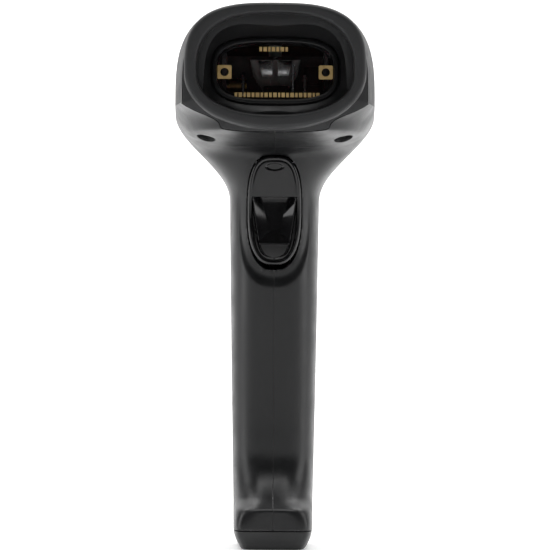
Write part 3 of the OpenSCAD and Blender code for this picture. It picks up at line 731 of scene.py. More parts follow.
# %% [markdown]
# ## The trigger
# The trigger is an egg-shaped glossy piece with a rolled edge. Its upper half is a flat plate with a small
# dimple; its lower half steps back into a scoop for the finger, with slanted cheeks on both sides, a shelf
# that faces up and a rounded tip. Heights decide each region, and soft ramps between them keep the
# reflections calm.

# %% Trigger face
scoop_top_z = trigger_top_z - 13.4
shelf_top_z, shelf_low_z, tip_z = 106.1, 101.9, 97.2
blade_top_half, blade_low_half, blade_low_z = 7.6, 4.9, 99.8


def smooth_between(value, low, high):
    return soft((value - low) / (high - low))


def blade_half(z):
    """Half width of the finger blade, closed by a rounded tip."""
    climb = np.clip((z - blade_low_z) / (scoop_top_z - blade_low_z), 0, 1)
    straight = blade_low_half + (blade_top_half - blade_low_half) * climb ** 0.8
    tip = np.clip((z - tip_z) / 4.0, 0, 1)
    return straight * (1 - (1 - tip) ** 2.6) ** (1 / 2.2)


def trigger_front(x, z):
    """Depth of the trigger's face, larger towards the back."""
    egg_shape = (trigger_mid_z, trigger_half_w, trigger_half_h, trigger_half_h, 3.0, 2.6)
    reach = egg_reach(x, z, *egg_shape)
    # Distance to the edge, from how fast the outline's measure grows there
    step = 0.01
    slope_x = (egg_reach(x + step, z, *egg_shape) - egg_reach(x - step, z, *egg_shape)) / (2 * step)
    slope_z = (egg_reach(x, z + step, *egg_shape) - egg_reach(x, z - step, *egg_shape)) / (2 * step)
    edge = (1 - reach) / np.maximum(1e-6, np.hypot(slope_x, slope_z))
    face = grip_front_y(z) - 1.25 - 1.1 * soft((scoop_top_z - z) / 22)
    roll = 0.95
    bend = np.clip(edge / roll, 0, 1)
    face = face + roll * (1 - np.sqrt(np.maximum(0, 1 - (1 - bend) ** 2)))
    # A shallow ditch just inside the rolled edge
    face = face + 0.22 * np.exp(-((edge - 1.25) / 0.33) ** 2)
    # Dimple near the top
    dimple = (np.abs(x) / 3.3) ** 1.7 + (np.abs(z - 127.4) / 1.35) ** 2
    face = face + 0.55 * soft((1 - dimple) / 0.5)
    # Finger blade: below the step, inside its own outline
    inside_blade = blade_half(z) - np.abs(x)
    below = smooth_between(scoop_top_z - z, 0.0, 0.35)
    groove = below * smooth_between(edge, 1.2, 1.7) * (1 - smooth_between(inside_blade, -0.15, 0.15))
    face = face + 2.6 * groove
    # The scoop: deepest under the step, rising to the shelf
    valley_half = 1.2 + 3.4 * np.clip((z - shelf_top_z) / (scoop_top_z - shelf_top_z), 0, 1)
    cheek = np.clip((np.abs(x) - valley_half) / np.maximum(0.5, blade_half(z) - valley_half), 0, 1)
    valley = 3.0 + 0.7 * smooth_between(z, shelf_top_z - 1, scoop_top_z)
    scoop = valley - (valley - 0.5) * cheek
    shelf = 3.0 - 2.85 * np.clip((shelf_top_z - z) / (shelf_top_z - shelf_low_z), 0, 1)
    lip = 0.15 + 0.75 * smooth_between(shelf_low_z - z, 0.0, 0.5) * smooth_between(inside_blade, 0.35, 0.7)
    depth = np.where(z > shelf_top_z, scoop, np.where(z > shelf_low_z, np.minimum(shelf, scoop), lip))
    # The blade's rounded rim
    rim = 0.5 * (1 - smooth_between(inside_blade, 0.0, 0.5))
    blade = below * smooth_between(inside_blade, -0.15, 0.15) * smooth_between(edge, 1.0, 1.5)
    return face + blade * (depth + rim)

# %% Trigger mesh
turn_z = np.linspace(-89.2, 89.2, 300)
trigger_z = trigger_mid_z + (trigger_half_h - 0.02) * np.sin(np.radians(turn_z))
trigger_z = np.sort(np.concatenate([trigger_z, scoop_top_z - np.linspace(0.0, 0.4, 8),
                                    shelf_top_z + np.linspace(-0.15, 0.15, 3),
                                    shelf_low_z + np.linspace(-0.5, 0.1, 6)]))
across = np.sin(np.radians(np.linspace(-90, 90, 150)))
zz, uu = np.meshgrid(trigger_z, across, indexing="ij")
n_here = np.where(zz > trigger_mid_z, 3.0, 2.6)
high_share = np.abs(zz - trigger_mid_z) / trigger_half_h
half_here = (trigger_half_w - 0.02) * (1 - high_share ** n_here) ** (1 / n_here)
xx = half_here * uu
front = np.stack([xx, trigger_front(xx, zz), zz], axis=-1)
back_y_here = -14.0
back = np.stack([xx, np.full_like(xx, back_y_here), zz], axis=-1)
rows, cols = zz.shape
points = np.concatenate([front.reshape(-1, 3), back.reshape(-1, 3)])
faces = grid_faces(rows, cols)
faces += grid_faces(rows, cols, flip=True, start=rows * cols)
shift = rows * cols
for r in range(rows - 1):
    a, b = r * cols, (r + 1) * cols
    a_end, b_end = a + cols - 1, b + cols - 1
    faces += [(a, b, b + shift, a + shift), (b_end, a_end, a_end + shift, b_end + shift)]
for c in range(cols - 1):
    a, b = c, (rows - 1) * cols + c
    faces += [(a + 1, a, a + shift, a + 1 + shift), (b, b + 1, b + 1 + shift, b + shift)]
trigger_face = to_object("trigger_face", points, faces)
face_outwards(trigger_face)
sharpen(trigger_face, 42)
pin_x, hub_r = 6.0, 2.5
hub = turned("trigger_hub", [(1.05, -pin_x), (hub_r - 0.2, -pin_x), (hub_r, -pin_x + 0.2),
                             (hub_r, pin_x - 0.2),
                             (hub_r - 0.2, pin_x), (1.05, pin_x), (1.05, -pin_x)],
             (0, hinge_at[1], hinge_at[2]), axis="X")
sharpen(hub)


def rounded_box(name, size, at, edge=0.25):
    """A box centred on a point, with its edges rounded."""
    half = np.array(size) / 2
    corners = [np.array(at) + half * (sx, sy, sz) for sx in (-1, 1) for sy in (-1, 1) for sz in (-1, 1)]
    faces = [(0, 1, 3, 2), (4, 6, 7, 5), (0, 4, 5, 1), (2, 3, 7, 6), (0, 2, 6, 4), (1, 5, 7, 3)]
    piece = to_object(name, corners, faces)
    add_modifier(piece, "BEVEL", width=edge * MM, segments=3, limit_method="NONE")
    apply_modifiers(piece)
    sharpen(piece, 50)
    return piece


push_low, push_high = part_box("switch_plunger")
push_z = (push_low.z + push_high.z) / 2 / MM
pad = rounded_box("trigger_pad", (5, 3.0, 4.6), (0, -13.1, push_z))
peg = turned("trigger_peg", [(0.01, 2.1), (1.3, 2.1), (1.55, 1.85), (1.55, -0.5)],
             (0, -14, trigger_top_z - 27), axis="Y")
sharpen(peg)
trigger_piece = join("finger_trigger", [trigger_face, hub, pad, peg])
made(trigger_piece, "trigger", body="trigger")

# %% [markdown]
# ## The base cap
# The foot is closed by a shallow cap that curls in towards the table. Its outline is the housing's own
# outline where they meet, and the gap between them shows as a dark line. Inside it is hollow, with a
# square cut for the cable plug.

# %% Base cap
full_turn = np.radians(np.concatenate([np.linspace(-90, 90, 150), np.linspace(90, 270, 150)[1:-1]]))


def cap_outline(inset):
    """The housing's outline at the seam, set inwards, all the way round."""
    z = cap_h
    side = np.where(np.cos(full_turn) < 0, -1, 1)
    mirrored = np.where(side > 0, full_turn, math.pi - full_turn)
    mid = mid_y(z)
    x, y = around(half_w(z) - inset, mid - front_y(z) - inset, back_y(z) - mid - inset,
                  front_round(z), plan_round, mirrored)
    return np.stack([np.abs(x) * side, y + mid], axis=-1)


def cap_taper(z):
    return 2.5 * max(0, 1 - z / cap_h) ** 1.7


cap_rows = []
for z in np.concatenate([[0.02, 0.06, 0.16, 0.3], np.linspace(0.5, cap_h - 0.35, 16),
                         [cap_h - 0.24, cap_h - 0.14]]):
    edge_roll = 0.35 * (1 - min(1, z / 0.3)) ** 2 + (0.22 if z > cap_h - 0.2 else 0.03)
    cap_rows.append((cap_outline(cap_taper(z) + SKIN + edge_roll), z))
inner_rows = [(cap_outline(wall - 0.2 + cap_taper(max(z, 2.0))), z) for z in (cap_h - 0.14, 4.0, 2.05)]
rings = [np.column_stack([flat, np.full(len(flat), z)]) for flat, z in cap_rows + inner_rows]
count = len(full_turn)
points = np.concatenate(rings)
faces = grid_faces(len(rings), count, wrap_cols=True)
faces.append(tuple(range(count))[::-1])
faces.append(tuple(range(len(points) - count, len(points))))
cap = to_object("foot_cap", points, faces)
face_outwards(cap)


def cut_with(piece, cutter):
    """Cuts another mesh out of the piece."""
    add_modifier(piece, "BOOLEAN", object=cutter, operation="DIFFERENCE", solver="EXACT")
    apply_modifiers(piece)
    bpy.data.objects.remove(cutter)


socket_low, socket_high = box_mm("cable_socket")
socket_y = (socket_low[1] + socket_high[1]) / 2
cut_with(cap, rounded_box("plug_cut", (13, 8.6, 8), (0, socket_y, 2.5), edge=0.5))
base_screw_x, base_screw_y = 6.6, 7.6
for side in (-1, 1):
    cut_with(cap, turned("screw_cut", [(2.85, -1), (2.85, 1.2), (1.35, 1.2), (1.35, 8)],
                         (side * base_screw_x, base_screw_y, 0), close=True))
sharpen(cap, 35)
made(cap, "base_cap")

# %% [markdown]
# ## Screws and lens
# Each screw gets a rounded pan head with a cross recess. The head is a turned profile; the recess is cut
# with two crossed wedges. The status lens is a clear plug whose top follows the roof.

# %% Screws
def screw(name, at, axis, head_r=2.6, head_h=1.5, shank_r=1.28, shank_l=12.0, point=1):
    """A cross-head screw from the top of its head; its shank runs along the axis, forwards for point=1."""
    profile = [(0.01, 0), (head_r * 0.55, 0.0), (head_r * 0.82, 0.16), (head_r * 0.96, 0.45), (head_r, 0.8),
               (head_r, head_h), (shank_r, head_h)]
    ridges = int(shank_l / 0.9)
    for i in range(ridges):
        h = head_h + 0.5 + i * 0.9
        profile += [(shank_r * 0.78, h), (shank_r, h + 0.36), (shank_r * 0.78, h + 0.62)]
    profile += [(0.01, head_h + shank_l)]
    body = turned(name, [(r, point * h) for r, h in profile], at, axis=axis, steps=40, close=True)
    for size in {"Z": [(2.4, 0.55, 1.5), (0.55, 2.4, 1.5)], "X": [(1.5, 2.4, 0.55), (1.5, 0.55, 2.4)]}[axis]:
        cut_with(body, rounded_box("recess", size, at, edge=0.12))
    face_outwards(body)
    sharpen(body, 35)
    return body


shoulder_screws = [screw(f"shoulder_{side}", (side * well_x, well_y, seat_z - 1.8), "Z", shank_l=12.5)
                   for side in (-1, 1)]
made(join("shoulder_screws", shoulder_screws), "head_screws")
made(join("cap_screws", [screw(f"cap_screw_{side}", (side * base_screw_x, base_screw_y, 0.2), "Z",
                               head_h=0.95, shank_l=11) for side in (-1, 1)]), "base_screws")
grip_screws_at = ((8.4, 34.0), (11.4, 96.0))
made(join("grip_screws", [screw(f"grip_screw_{k}", (8.8, y, z), "X", head_h=1.7, shank_l=14.0, point=-1)
                          for k, (y, z) in enumerate(grip_screws_at)]), "handle_screws")

# %% Right shell's screw holes
for y, z in grip_screws_at:
    cut_with(right_half, turned("side_cut", [(2.8, 6.5), (2.8, 30)], (0, y, z), axis="X", close=True))
sharpen(right_half)
hole_tubes = []
for k, (y, z) in enumerate(grip_screws_at):
    tube = turned(f"side_well_{k}", [(3.7, 20), (2.8, 20), (2.8, 7.0), (1.4, 7.0), (1.4, 6.0), (3.7, 6.0)],
                  (0, y, z), axis="X")
    # The tube ends just under the curved skin
    for v in tube.data.vertices:
        if v.co.x / MM > 15:
            z_here = v.co.z / MM
            mid = float(mid_y(z_here))
            share = min(1, abs(v.co.y / MM - mid) / float(back_y(z_here) - mid_y(z_here)))
            v.co.x = (float(half_w(z_here)) * (1 - share ** plan_round) ** (1 / plan_round) - 0.35) * MM
    sharpen(tube)
    hole_tubes.append(tube)
made(join("grip_screw_wells", hole_tubes))

# %% Status lens
lens_low = box_mm("light_pipe")[0][2]
lens_rows = []
ring = np.linspace(0, 2 * math.pi, 72, endpoint=False)
for r, drop in ((0.05, 0.0), (1.0, 0.0), (1.8, 0.02), (2.15, 0.12), (lens_r, 0.4), (lens_r, 2.5),
                (lens_r, None)):
    x, y = r * np.cos(ring), lens_y + r * np.sin(ring)
    z = np.full_like(x, lens_low) if drop is None else roof_z_at(x, y) - 0.35 - drop
    lens_rows.append(np.stack([x, y, z], axis=-1))
points = np.concatenate(lens_rows)
faces = grid_faces(len(lens_rows), len(ring), wrap_cols=True, flip=True)
faces += [tuple(range(len(ring))), tuple(range(len(points) - len(ring), len(points)))[::-1]]
lens = to_object("status_lens", points, faces)
sharpen(lens, 40)
made(lens, "light_pipe")

# %% [markdown]
# ## The scan engine behind the window
# The window lets the swinging mirror show: a pale holder whose two arms slant in, with a ringed collecting
# mirror between them and the coil's dark block below. The mirror and its holder belong to the swinging
# body; everything else is fixed. They are the shapes that catch the light through the red pane.

# %% Mirror holder and ringed mirror
holder_low, holder_high = box_mm("mirror_holder")


def prism(name, outline, y_front, y_back, edge=0.18):
    """A plate cut to an outline in the X-Z plane, with its edges rounded."""
    n = len(outline)
    points = [(x, y_front, z) for x, z in outline] + [(x, y_back, z) for x, z in outline]
    faces = [tuple(range(n)), tuple(range(2 * n - 1, n - 1, -1))]
    faces += [(k, k + n, (k + 1) % n + n, (k + 1) % n) for k in range(n)]
    piece = to_object(name, points, faces)
    face_outwards(piece)
    add_modifier(piece, "BEVEL", width=edge * MM, segments=2, limit_method="ANGLE",
                 angle_limit=math.radians(30))
    apply_modifiers(piece)
    sharpen(piece, 40)
    return piece


top_z = holder_high[2]
holder_front = holder_low[1]
arms = []
for side in (-1, 1):
    arms.append(prism(f"arm_{side}", [(side * 8.5, top_z), (side * 5.9, top_z), (side * 4.7, top_z - 5.2),
                                      (side * 4.2, top_z - 6.6), (side * 6.2, top_z - 6.6),
                                      (side * 7.2, top_z - 4.0)],
                      holder_front + 0.1, holder_front + 1.5))
arms.append(prism("holder_back", [(-8.5, top_z), (8.5, top_z), (7.4, top_z - 5.4), (4.0, top_z - 10.8),
                                  (-4.0, top_z - 10.8), (-7.4, top_z - 5.4)],
                  holder_front + 1.5, holder_front + 2.5))
holder_h = top_z - holder_low[2]
arms.append(turned("holder_hub", [(0.85, 0), (1.9, 0), (1.9, holder_h), (0.85, holder_h), (0.85, 0)],
                   (mirror_at[0], mirror_at[1], holder_low[2]), axis="Z"))
made(join("mirror_arms", arms), "mirror_holder", body="mirror")

ringed = prism("mirror_plate", [(-5.7, top_z - 0.4), (5.7, top_z - 0.4),
                                (4.5, top_z - 5.6), (-4.5, top_z - 5.6)],
               holder_front + 0.75, holder_front + 1.45, edge=0.1)
grooves = []
ring_middle_z = top_z - 2.6
# Radius of each ring and the angle that its ends keep from level, so that it stays on the plate
for radius, rest in ((1.1, 12), (1.9, 12), (2.7, 20), (3.5, 33)):
    arc = np.linspace(math.radians(rest), math.radians(180 - rest), 48)
    rows = []
    for dr, dy in ((-0.2, 0.0), (-0.08, -0.16), (0.08, -0.16), (0.2, 0.0)):
        rows.append(np.stack([(radius + dr) * np.cos(arc), np.full_like(arc, holder_front + 0.74 + dy),
                              ring_middle_z - 1.2 + (radius + dr) * np.sin(arc)], axis=-1))
    groove = to_object(f"groove_{radius}", np.concatenate(rows), grid_faces(4, len(arc)))
    add_modifier(groove, "SOLIDIFY", thickness=0.05 * MM, offset=1)
    apply_modifiers(groove)
    sharpen(groove, 40)
    grooves.append(groove)
made(join("ringed_mirror", [ringed] + grooves), "scan_mirror", body="mirror")

# %% Engine frame
chassis_low = box_mm("engine_chassis")[0]
engine_parts = []
floor_top = chassis_low[2] + 1.6
# Place, top and radius of each stud
for x, y, high, r in ((5.9, -33.2, 160.7, 0.55), (-10.6, -31.0, 158.0, 0.5), (9.8, -31.5, 157.5, 0.5)):
    stud = turned("stud", [(r * 1.9, floor_top), (r * 1.9, floor_top + 0.7), (r, floor_top + 1.0),
                           (r, high - 0.2), (r * 0.7, high), (0.02, high)], (x, y, 0), steps=28)
    sharpen(stud)
    engine_parts.append(stud)
made(join("engine_studs", engine_parts))
coil_x, coil_foot_z = 0.4, floor_top + 0.05
made(join("coil_housing", [
    rounded_box("coil_block", (8.6, 4.6, 4.6), (coil_x, mirror_at[1] - 6.2, coil_foot_z + 2.3), edge=0.5),
    rounded_box("coil_cap", (6.2, 1.2, 2.6), (coil_x, mirror_at[1] - 9.0, coil_foot_z + 2.6), edge=0.3)]))
print("engine floor from z", round(chassis_low[2], 1), "to", round(floor_top, 1))

# %% [markdown]
# ## Finishes
# A finish is a network of shader nodes. `Signal` wraps one output, so that masks can be mixed with
# ordinary arithmetic, and `Finish` makes every node in one place: its kind, then its settings, then its
# inputs. Each finish has fine grain and an uneven gloss, and the moulded finishes also get a painted
# highlight: their convex edges are coloured slightly lighter.

# %% Signal
class Signal:
    """An output of a shader node, with arithmetic."""

    def __init__(self, finish, socket):
        self.finish, self.socket = finish, socket

    def _math(self, operation, a, b):
        node = self.finish.node("ShaderNodeMath", {"operation": operation}, {0: a, 1: b})
        return Signal(self.finish, node.outputs[0])

    def __add__(self, other):
        return self._math("ADD", self, other)

    __radd__ = __add__

    def __sub__(self, other):
        return self._math("SUBTRACT", self, other)

    def __rsub__(self, other):
        return self._math("SUBTRACT", other, self)

    def __mul__(self, other):
        return self._math("MULTIPLY", self, other)

    __rmul__ = __mul__

    def ramp(self, low, high, out_low=0.0, out_high=1.0):
        """A smooth step from low to high."""
        node = self.finish.node("ShaderNodeMapRange", {"interpolation_type": "SMOOTHSTEP"},
                                {"Value": self, "From Min": low, "From Max": high,
                                 "To Min": out_low, "To Max": out_high})
        return Signal(self.finish, node.outputs[0])

# %% Finish
class Finish:
    """A material and the ways to feed its shader."""

    def __init__(self, name):
        self.material = bpy.data.materials.new(name)
        self.material.use_nodes = True
        self.tree = self.material.node_tree
        self.shader = self.tree.nodes["Principled BSDF"]
        self.heights = None

    def node(self, kind, settings=None, inputs=None):
        node = self.tree.nodes.new(kind)
        for key, value in (settings or {}).items():
            setattr(node, key, value)
        for key, value in (inputs or {}).items():
            self.feed(node.inputs[key], value)
        return node

    def feed(self, socket, value):
        if isinstance(value, Signal):
            self.tree.links.new(value.socket, socket)
        elif isinstance(value, tuple) and len(value) == 3 and socket.type == "RGBA":
            socket.default_value = (*value, 1)
        else:
            socket.default_value = value

    def set(self, **values):
        """Sets the shader's sockets, for example set(Roughness=0.4, Base_Color=mask)."""
        for key, value in values.items():
            self.feed(self.shader.inputs[key.replace("_", " ")], value)
        return self

    def place(self, stretch=(1, 1, 1)):
        spot = self.node("ShaderNodeTexCoord")
        mapping = self.node("ShaderNodeMapping", {"vector_type": "POINT"},
                            {"Vector": Signal(self, spot.outputs["Object"]), "Scale": stretch})
        return Signal(self, mapping.outputs[0])

    def grain(self, scale, detail=3.0, stretch=(1, 1, 1)):
        """Cloudy noise; scale is in patches for each metre."""
        noise = self.node("ShaderNodeTexNoise", None, {"Vector": self.place(stretch), "Scale": scale,
                                                       "Detail": detail, "Roughness": 0.55})
        return Signal(self, noise.outputs["Fac"])

    def cells(self, scale):
        """Distance to the nearest of many scattered points."""
        cells = self.node("ShaderNodeTexVoronoi", None, {"Vector": self.place(), "Scale": scale})
        return Signal(self, cells.outputs["Distance"])

    def edges(self, radius=0.0004):
        """1 on convex edges, 0 on open faces."""
        soft_normal = self.node("ShaderNodeBevel", {"samples": 4}, {"Radius": radius})
        geometry = self.node("ShaderNodeNewGeometry")
        both = self.node("ShaderNodeVectorMath", {"operation": "DOT_PRODUCT"},
                         {0: Signal(self, soft_normal.outputs[0]),
                          1: Signal(self, geometry.outputs["Normal"])})
        return Signal(self, both.outputs["Value"]).ramp(0.995, 0.80)

    def blend(self, mask, a, b):
        """A colour between a and b."""
        mix = self.node("ShaderNodeMix", {"data_type": "RGBA"}, {"Factor": mask})
        self.feed(mix.inputs[6], a)
        self.feed(mix.inputs[7], b)
        return Signal(self, mix.outputs[2])

    def bump(self, height, distance, strength=1.0):
        node = self.node("ShaderNodeBump", None,
                         {"Height": height, "Distance": distance, "Strength": strength})
        self.feed(self.shader.inputs["Normal"], Signal(self, node.outputs[0]))
        return self

# %% [markdown]
# ## Moulded plastic and rubber
# Housings like these are black plastic with a fine grain that was etched into the mould, and the bumper
# has a softer skin of the same kind. An image texture would be the quick way, but it stretches over curved
# skins, so the grain is noise in the piece's own space, pressed in with a bump. Patchy roughness and a
# painted highlight, convex edges coloured slightly lighter, keep it from looking like one flat colour.

# %% Moulded finish
def moulded(name, colour, rough=0.45, grain_size=2600, grain_depth=0.00003, edge_highlight_gain=1.6, gloss=0.5, edge=0.0004):
    """Moulded plastic with a fine-grained skin."""
    f = Finish(name)
    fine, cloudy, dust = f.grain(grain_size, 2.0), f.grain(140, 4.0), f.grain(35, 3.0)
    # Colour of the painted edge highlight
    light = tuple(min(1, c * edge_highlight_gain + 0.004) for c in colour)
    dark = tuple(c * 0.82 for c in colour)
    tone = f.blend(cloudy.ramp(0.3, 0.7), dark, colour)
    # Painted highlight: convex edges are blended towards that lighter colour, in cloudy patches
    tone = f.blend(f.edges(edge) * cloudy.ramp(0.35, 0.65, 0.3, 0.9), tone, light)
    f.set(Base_Color=tone, Roughness=(cloudy.ramp(0.3, 0.7, rough - 0.05, rough + 0.05)
                                      + dust.ramp(0.4, 0.7, -0.02, 0.04)))
    f.shader.inputs["Specular IOR Level"].default_value = gloss
    return f.bump(fine + cloudy * 0.3, grain_depth)

# %% [markdown]
# ## Plated and turned metal
# Screws, pins and contacts are bare or plated metal. A perfectly even metal looks artificial, so stretched
# noise draws fine scratches and larger patches dull it. A metal's colour is the colour of its reflections,
# which is why Metallic is 1 and the base colour is bright.

# %% Metal finish
def metal(name, colour, rough=0.3, stretch=(1, 1, 1), scratches=900):
    """Turned or plated metal with fine scratches and duller patches."""
    f = Finish(name)
    brushed, patches = f.grain(scratches, 3.0, stretch), f.grain(260, 3.0)
    dull = tuple(c * 0.62 for c in colour)
    f.set(Base_Color=f.blend(patches.ramp(0.35, 0.75), colour, dull), Metallic=1.0,
          Roughness=patches.ramp(0.3, 0.7, rough - 0.07, rough + 0.1) + brushed * 0.06)
    return f.bump(brushed, 0.00002, 0.6)

# %% [markdown]
# ## Circuit board lacquer
# The boards are green lacquer over copper traces. Each trace could be a strip of faces, but they are a few
# tenths of a millimetre wide, so a brick pattern stands for them: it colours the lacquer and lifts it a
# little with a bump.

# %% Board finish
def circuit(name):
    """Lacquered board: traces under a green mask."""
    f = Finish(name)
    traces = f.node("ShaderNodeTexBrick", {"offset": 0.5},
                    {"Vector": f.place(), "Scale": 320, "Mortar Size": 0.02})
    lines = Signal(f, traces.outputs["Fac"])
    weave = f.grain(1500, 2.0)
    f.set(Base_Color=f.blend(lines, (0.012, 0.075, 0.03), (0.03, 0.16, 0.06)),
          Roughness=weave.ramp(0.3, 0.7, 0.25, 0.4))
    return f.bump(lines + weave * 0.4, 0.00003)

# %% [markdown]
# ## Window pane and clear plastic
# The pane is dark red and lets the engine show through. True refraction needs many bounces of light and is
# slow to become clean, and a flat pane hardly bends what lies behind it. So Alpha mixes the dark gloss
# with what is behind. The small lenses are made the same way, paler and milkier.

# %% Pane and clear finishes
def tinted_pane(name):
    """A dark red window that still lets the engine behind it show."""
    f = Finish(name)
    smear, dust = f.grain(120, 4.0), f.cells(900)
    f.set(Base_Color=f.blend(smear.ramp(0.3, 0.8), (0.012, 0.0015, 0.002), (0.024, 0.004, 0.005)),
          Roughness=smear.ramp(0.4, 0.8, 0.03, 0.09),
          Alpha=smear.ramp(0.2, 0.8, 0.14, 0.2) + dust.ramp(0.06, 0.0, 0.0, 0.1))
    return f.bump(smear, 0.00001, 0.3)


def clear(name, tint, alpha):
    """Clear or milky moulded plastic."""
    f = Finish(name)
    clouds = f.grain(400, 3.0)
    f.set(Base_Color=f.blend(clouds.ramp(0.3, 0.7), tint, tuple(c * 0.8 for c in tint)),
          Roughness=clouds.ramp(0.3, 0.7, 0.08, 0.18),
          Alpha=clouds.ramp(0.3, 0.7, alpha - 0.05, alpha + 0.05))
    return f.bump(clouds, 0.00001, 0.4)

# %% [markdown]
# ## The list of finishes
# Each material slot of the frame gets one finish, so the CAD nodes that stay visible match the new skins.
# The blacks are very dark, because a white studio reflects strongly in black plastic and lifts it a good
# deal.

# %% The finishes
finishes = {
    "housing_grey": moulded("shell_plastic", (0.0085, 0.0088, 0.0095), rough=0.36, gloss=0.42),
    "housing_dark": moulded("roof_plastic", (0.0105, 0.0107, 0.0115), rough=0.52, grain_depth=0.00004,
                            gloss=0.4),
    "bumper_rubber": moulded("bumper_rubber", (0.0135, 0.0138, 0.0150), rough=0.56, grain_depth=0.00004,
                             gloss=0.4, edge=0.0006),
    "bezel_black": moulded("surround_plastic", (0.0085, 0.0088, 0.0095), rough=0.4, gloss=0.42),
    "trigger_gloss": moulded("trigger_gloss", (0.004, 0.004, 0.0046), rough=0.1, grain_size=500,
                             grain_depth=0.000004, edge_highlight_gain=2.2),
    "black_plastic": moulded("black_plastic", (0.012, 0.012, 0.013), rough=0.38),
    "plunger_red": moulded("plunger_red", (0.42, 0.03, 0.02), rough=0.35, edge_highlight_gain=1.2),
    "connector_white": moulded("connector_white", (0.72, 0.69, 0.6), rough=0.4, edge_highlight_gain=1.05),
    "chassis_grey": moulded("chassis_grey", (0.10, 0.105, 0.11), rough=0.42, edge_highlight_gain=1.4),
    "holder_grey": moulded("holder_pale", (0.78, 0.79, 0.78), rough=0.4, edge_highlight_gain=1.1),
    "wire_sleeve": moulded("wire_sleeve", (0.05, 0.012, 0.012), rough=0.5, edge_highlight_gain=1.3),
    "board_green": circuit("board_lacquer"),
    "window_red": tinted_pane("window_red"),
    "clear_plastic": clear("lens_milky", (0.62, 0.72, 0.70), 0.75),
    "clear_glass": clear("laser_glass", (0.45, 0.42, 0.5), 0.55),
    "mirror_silver": metal("mirror_silver", (0.93, 0.94, 0.95), rough=0.16, stretch=(1, 1, 6)),
    "barrel_brass": metal("barrel_brass", (0.72, 0.48, 0.2), rough=0.28),
    "coil_copper": metal("coil_copper", (0.75, 0.32, 0.15), rough=0.34, stretch=(1, 1, 14), scratches=500),
    "contact_gold": metal("contact_gold", (0.83, 0.6, 0.24), rough=0.22),
    "pin_steel": metal("pin_steel", (0.62, 0.63, 0.65), rough=0.22),
    "screw_steel": metal("screw_steel", (0.36, 0.37, 0.39), rough=0.34),
}
gold_ink = metal("gold_ink", (0.78, 0.56, 0.25), rough=0.45)
# Painted glow: the gold ink gives off a faint light of its own, though ink is no lamp
gold_ink.set(Metallic=0.35, Emission_Color=(0.8, 0.55, 0.22), Emission_Strength=0.05)
print(len(finishes) + 1, "finishes")

# %% [markdown]
# ## Dressing the pieces
# Every new skin takes the slot of the node it stands for. The CAD nodes that stay visible are dressed in
# the slots that the frame names, and their shading is broken at real edges, because CAD meshes come
# without that.

# %% Give every piece its finish
def dress(piece, slot_name, finish=None):
    piece.data.materials.clear()
    piece.data.materials.append((finish or finishes[slot_name]).material)


own_slots = {
    "left_shell_skin": "housing_grey", "right_shell_skin": "housing_grey", "screw_wells": "housing_grey",
    "grip_screw_wells": "housing_grey", "roof_skin": "housing_dark", "nose_bumper_frame": "bumper_rubber",
    "bumper_flange": "bumper_rubber",
    "window_surround": "bezel_black", "window_pane": "window_red", "finger_trigger": "trigger_gloss",
    "foot_cap": "housing_grey", "shoulder_screws": "screw_steel", "cap_screws": "screw_steel",
    "grip_screws": "screw_steel", "status_lens": "clear_plastic", "mirror_arms": "holder_grey",
    "ringed_mirror": "mirror_silver", "engine_studs": "pin_steel", "coil_housing": "black_plastic",
}
for name, slot_name in own_slots.items():
    dress(bpy.data.objects[name], slot_name)
marks.data.materials.append(gold_ink.material)
node_slots = {part["node"]: part["material_slot"] for part in frame["record"]["subparts"]}
for node, cad in frame["nodes"].items():
    if not cad.hide_render:
        dress(cad, node_slots[node])
        sharpen(cad, 35)
print("dressed", len(own_slots) + 1, "own pieces and the shown CAD nodes")

# %% [markdown]
# ## Studio
# A white floor that curves up into a wall behind, so that no horizon shows from in front. Tall soft boxes
# at both sides stroke the flares of the head, a wide one above lights the roof, and one far behind washes
# the wall. The lamps are large, because gloss shows their shapes. The paper also glows a little, so that
# it stays white while the lamps are weak enough to keep the plastic black.

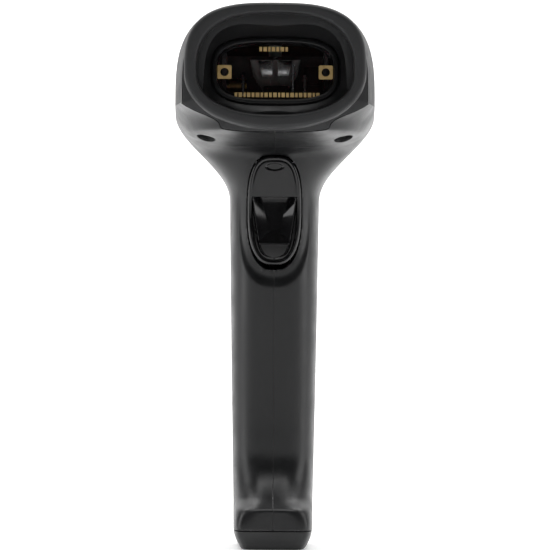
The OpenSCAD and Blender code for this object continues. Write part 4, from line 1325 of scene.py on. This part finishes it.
# %% Floor and sweep
SWEEP_HALF_W, FLOOR_FRONT, CURL_START, CURL_R, WALL_TOP = 2.4, 1.6, 0.7, 0.5, 2.4
wall_y = CURL_START + CURL_R
sweep_line = [(-FLOOR_FRONT, 0.0), (0.0, 0.0), (CURL_START, 0.0)]
sweep_line += [(CURL_START + CURL_R * math.sin(a), CURL_R - CURL_R * math.cos(a))
               for a in np.radians(np.linspace(8, 90, 12))]
sweep_line += [(wall_y, WALL_TOP / 2), (wall_y, WALL_TOP)]
sweep_rows = [[(x / MM, y / MM, z / MM) for x in (-SWEEP_HALF_W, SWEEP_HALF_W)] for y, z in sweep_line]
sweep = to_object("studio_sweep", np.concatenate(sweep_rows), grid_faces(len(sweep_rows), 2))
paper = Finish("studio_paper")
fibre = paper.grain(40, 4.0)
paper.set(Base_Color=paper.blend(fibre.ramp(0.3, 0.7), (0.86, 0.86, 0.86), (0.88, 0.88, 0.88)),
          Roughness=fibre.ramp(0.3, 0.7, 0.85, 0.95), Emission_Color=(1.0, 1.0, 1.0), Emission_Strength=0.25)
sweep.data.materials.append(paper.material)
print("sweep", len(sweep.data.polygons), "faces, wall", wall_y, "m behind")

# %% Lights
def soft_box(name, at, towards, size, power):
    data = bpy.data.lights.new(name, "AREA")
    data.shape = "RECTANGLE"
    data.size, data.size_y = size
    data.energy = power
    lamp = bpy.data.objects.new(name, data)
    lamp.location = at
    lamp.rotation_euler = (Vector(towards) - Vector(at)).to_track_quat("-Z", "Y").to_euler()
    bpy.context.scene.collection.objects.link(lamp)
    print("lamp", name, power, "W")


soft_box("side_left", (-0.75, -0.1, 0.25), (0, 0, 0.1), (0.35, 0.7), 2.0)
soft_box("side_right", (0.75, -0.1, 0.25), (0, 0, 0.1), (0.35, 0.7), 1.9)
soft_box("top", (0, -0.3, 0.95), (0, 0, 0.1), (0.8, 0.5), 5)
soft_box("paper_wash", (0, 0.5, 1.3), (0, 1.1, 0.0), (2.4, 0.6), 26)
world = bpy.data.worlds.new("studio_air")
world.use_nodes = True
world.node_tree.nodes["Background"].inputs["Color"].default_value = (1, 1, 1, 1)
world.node_tree.nodes["Background"].inputs["Strength"].default_value = 0.05
bpy.context.scene.world = world
# The plain transform keeps the black plastics black and the paper white
bpy.context.scene.view_settings.view_transform = "Standard"
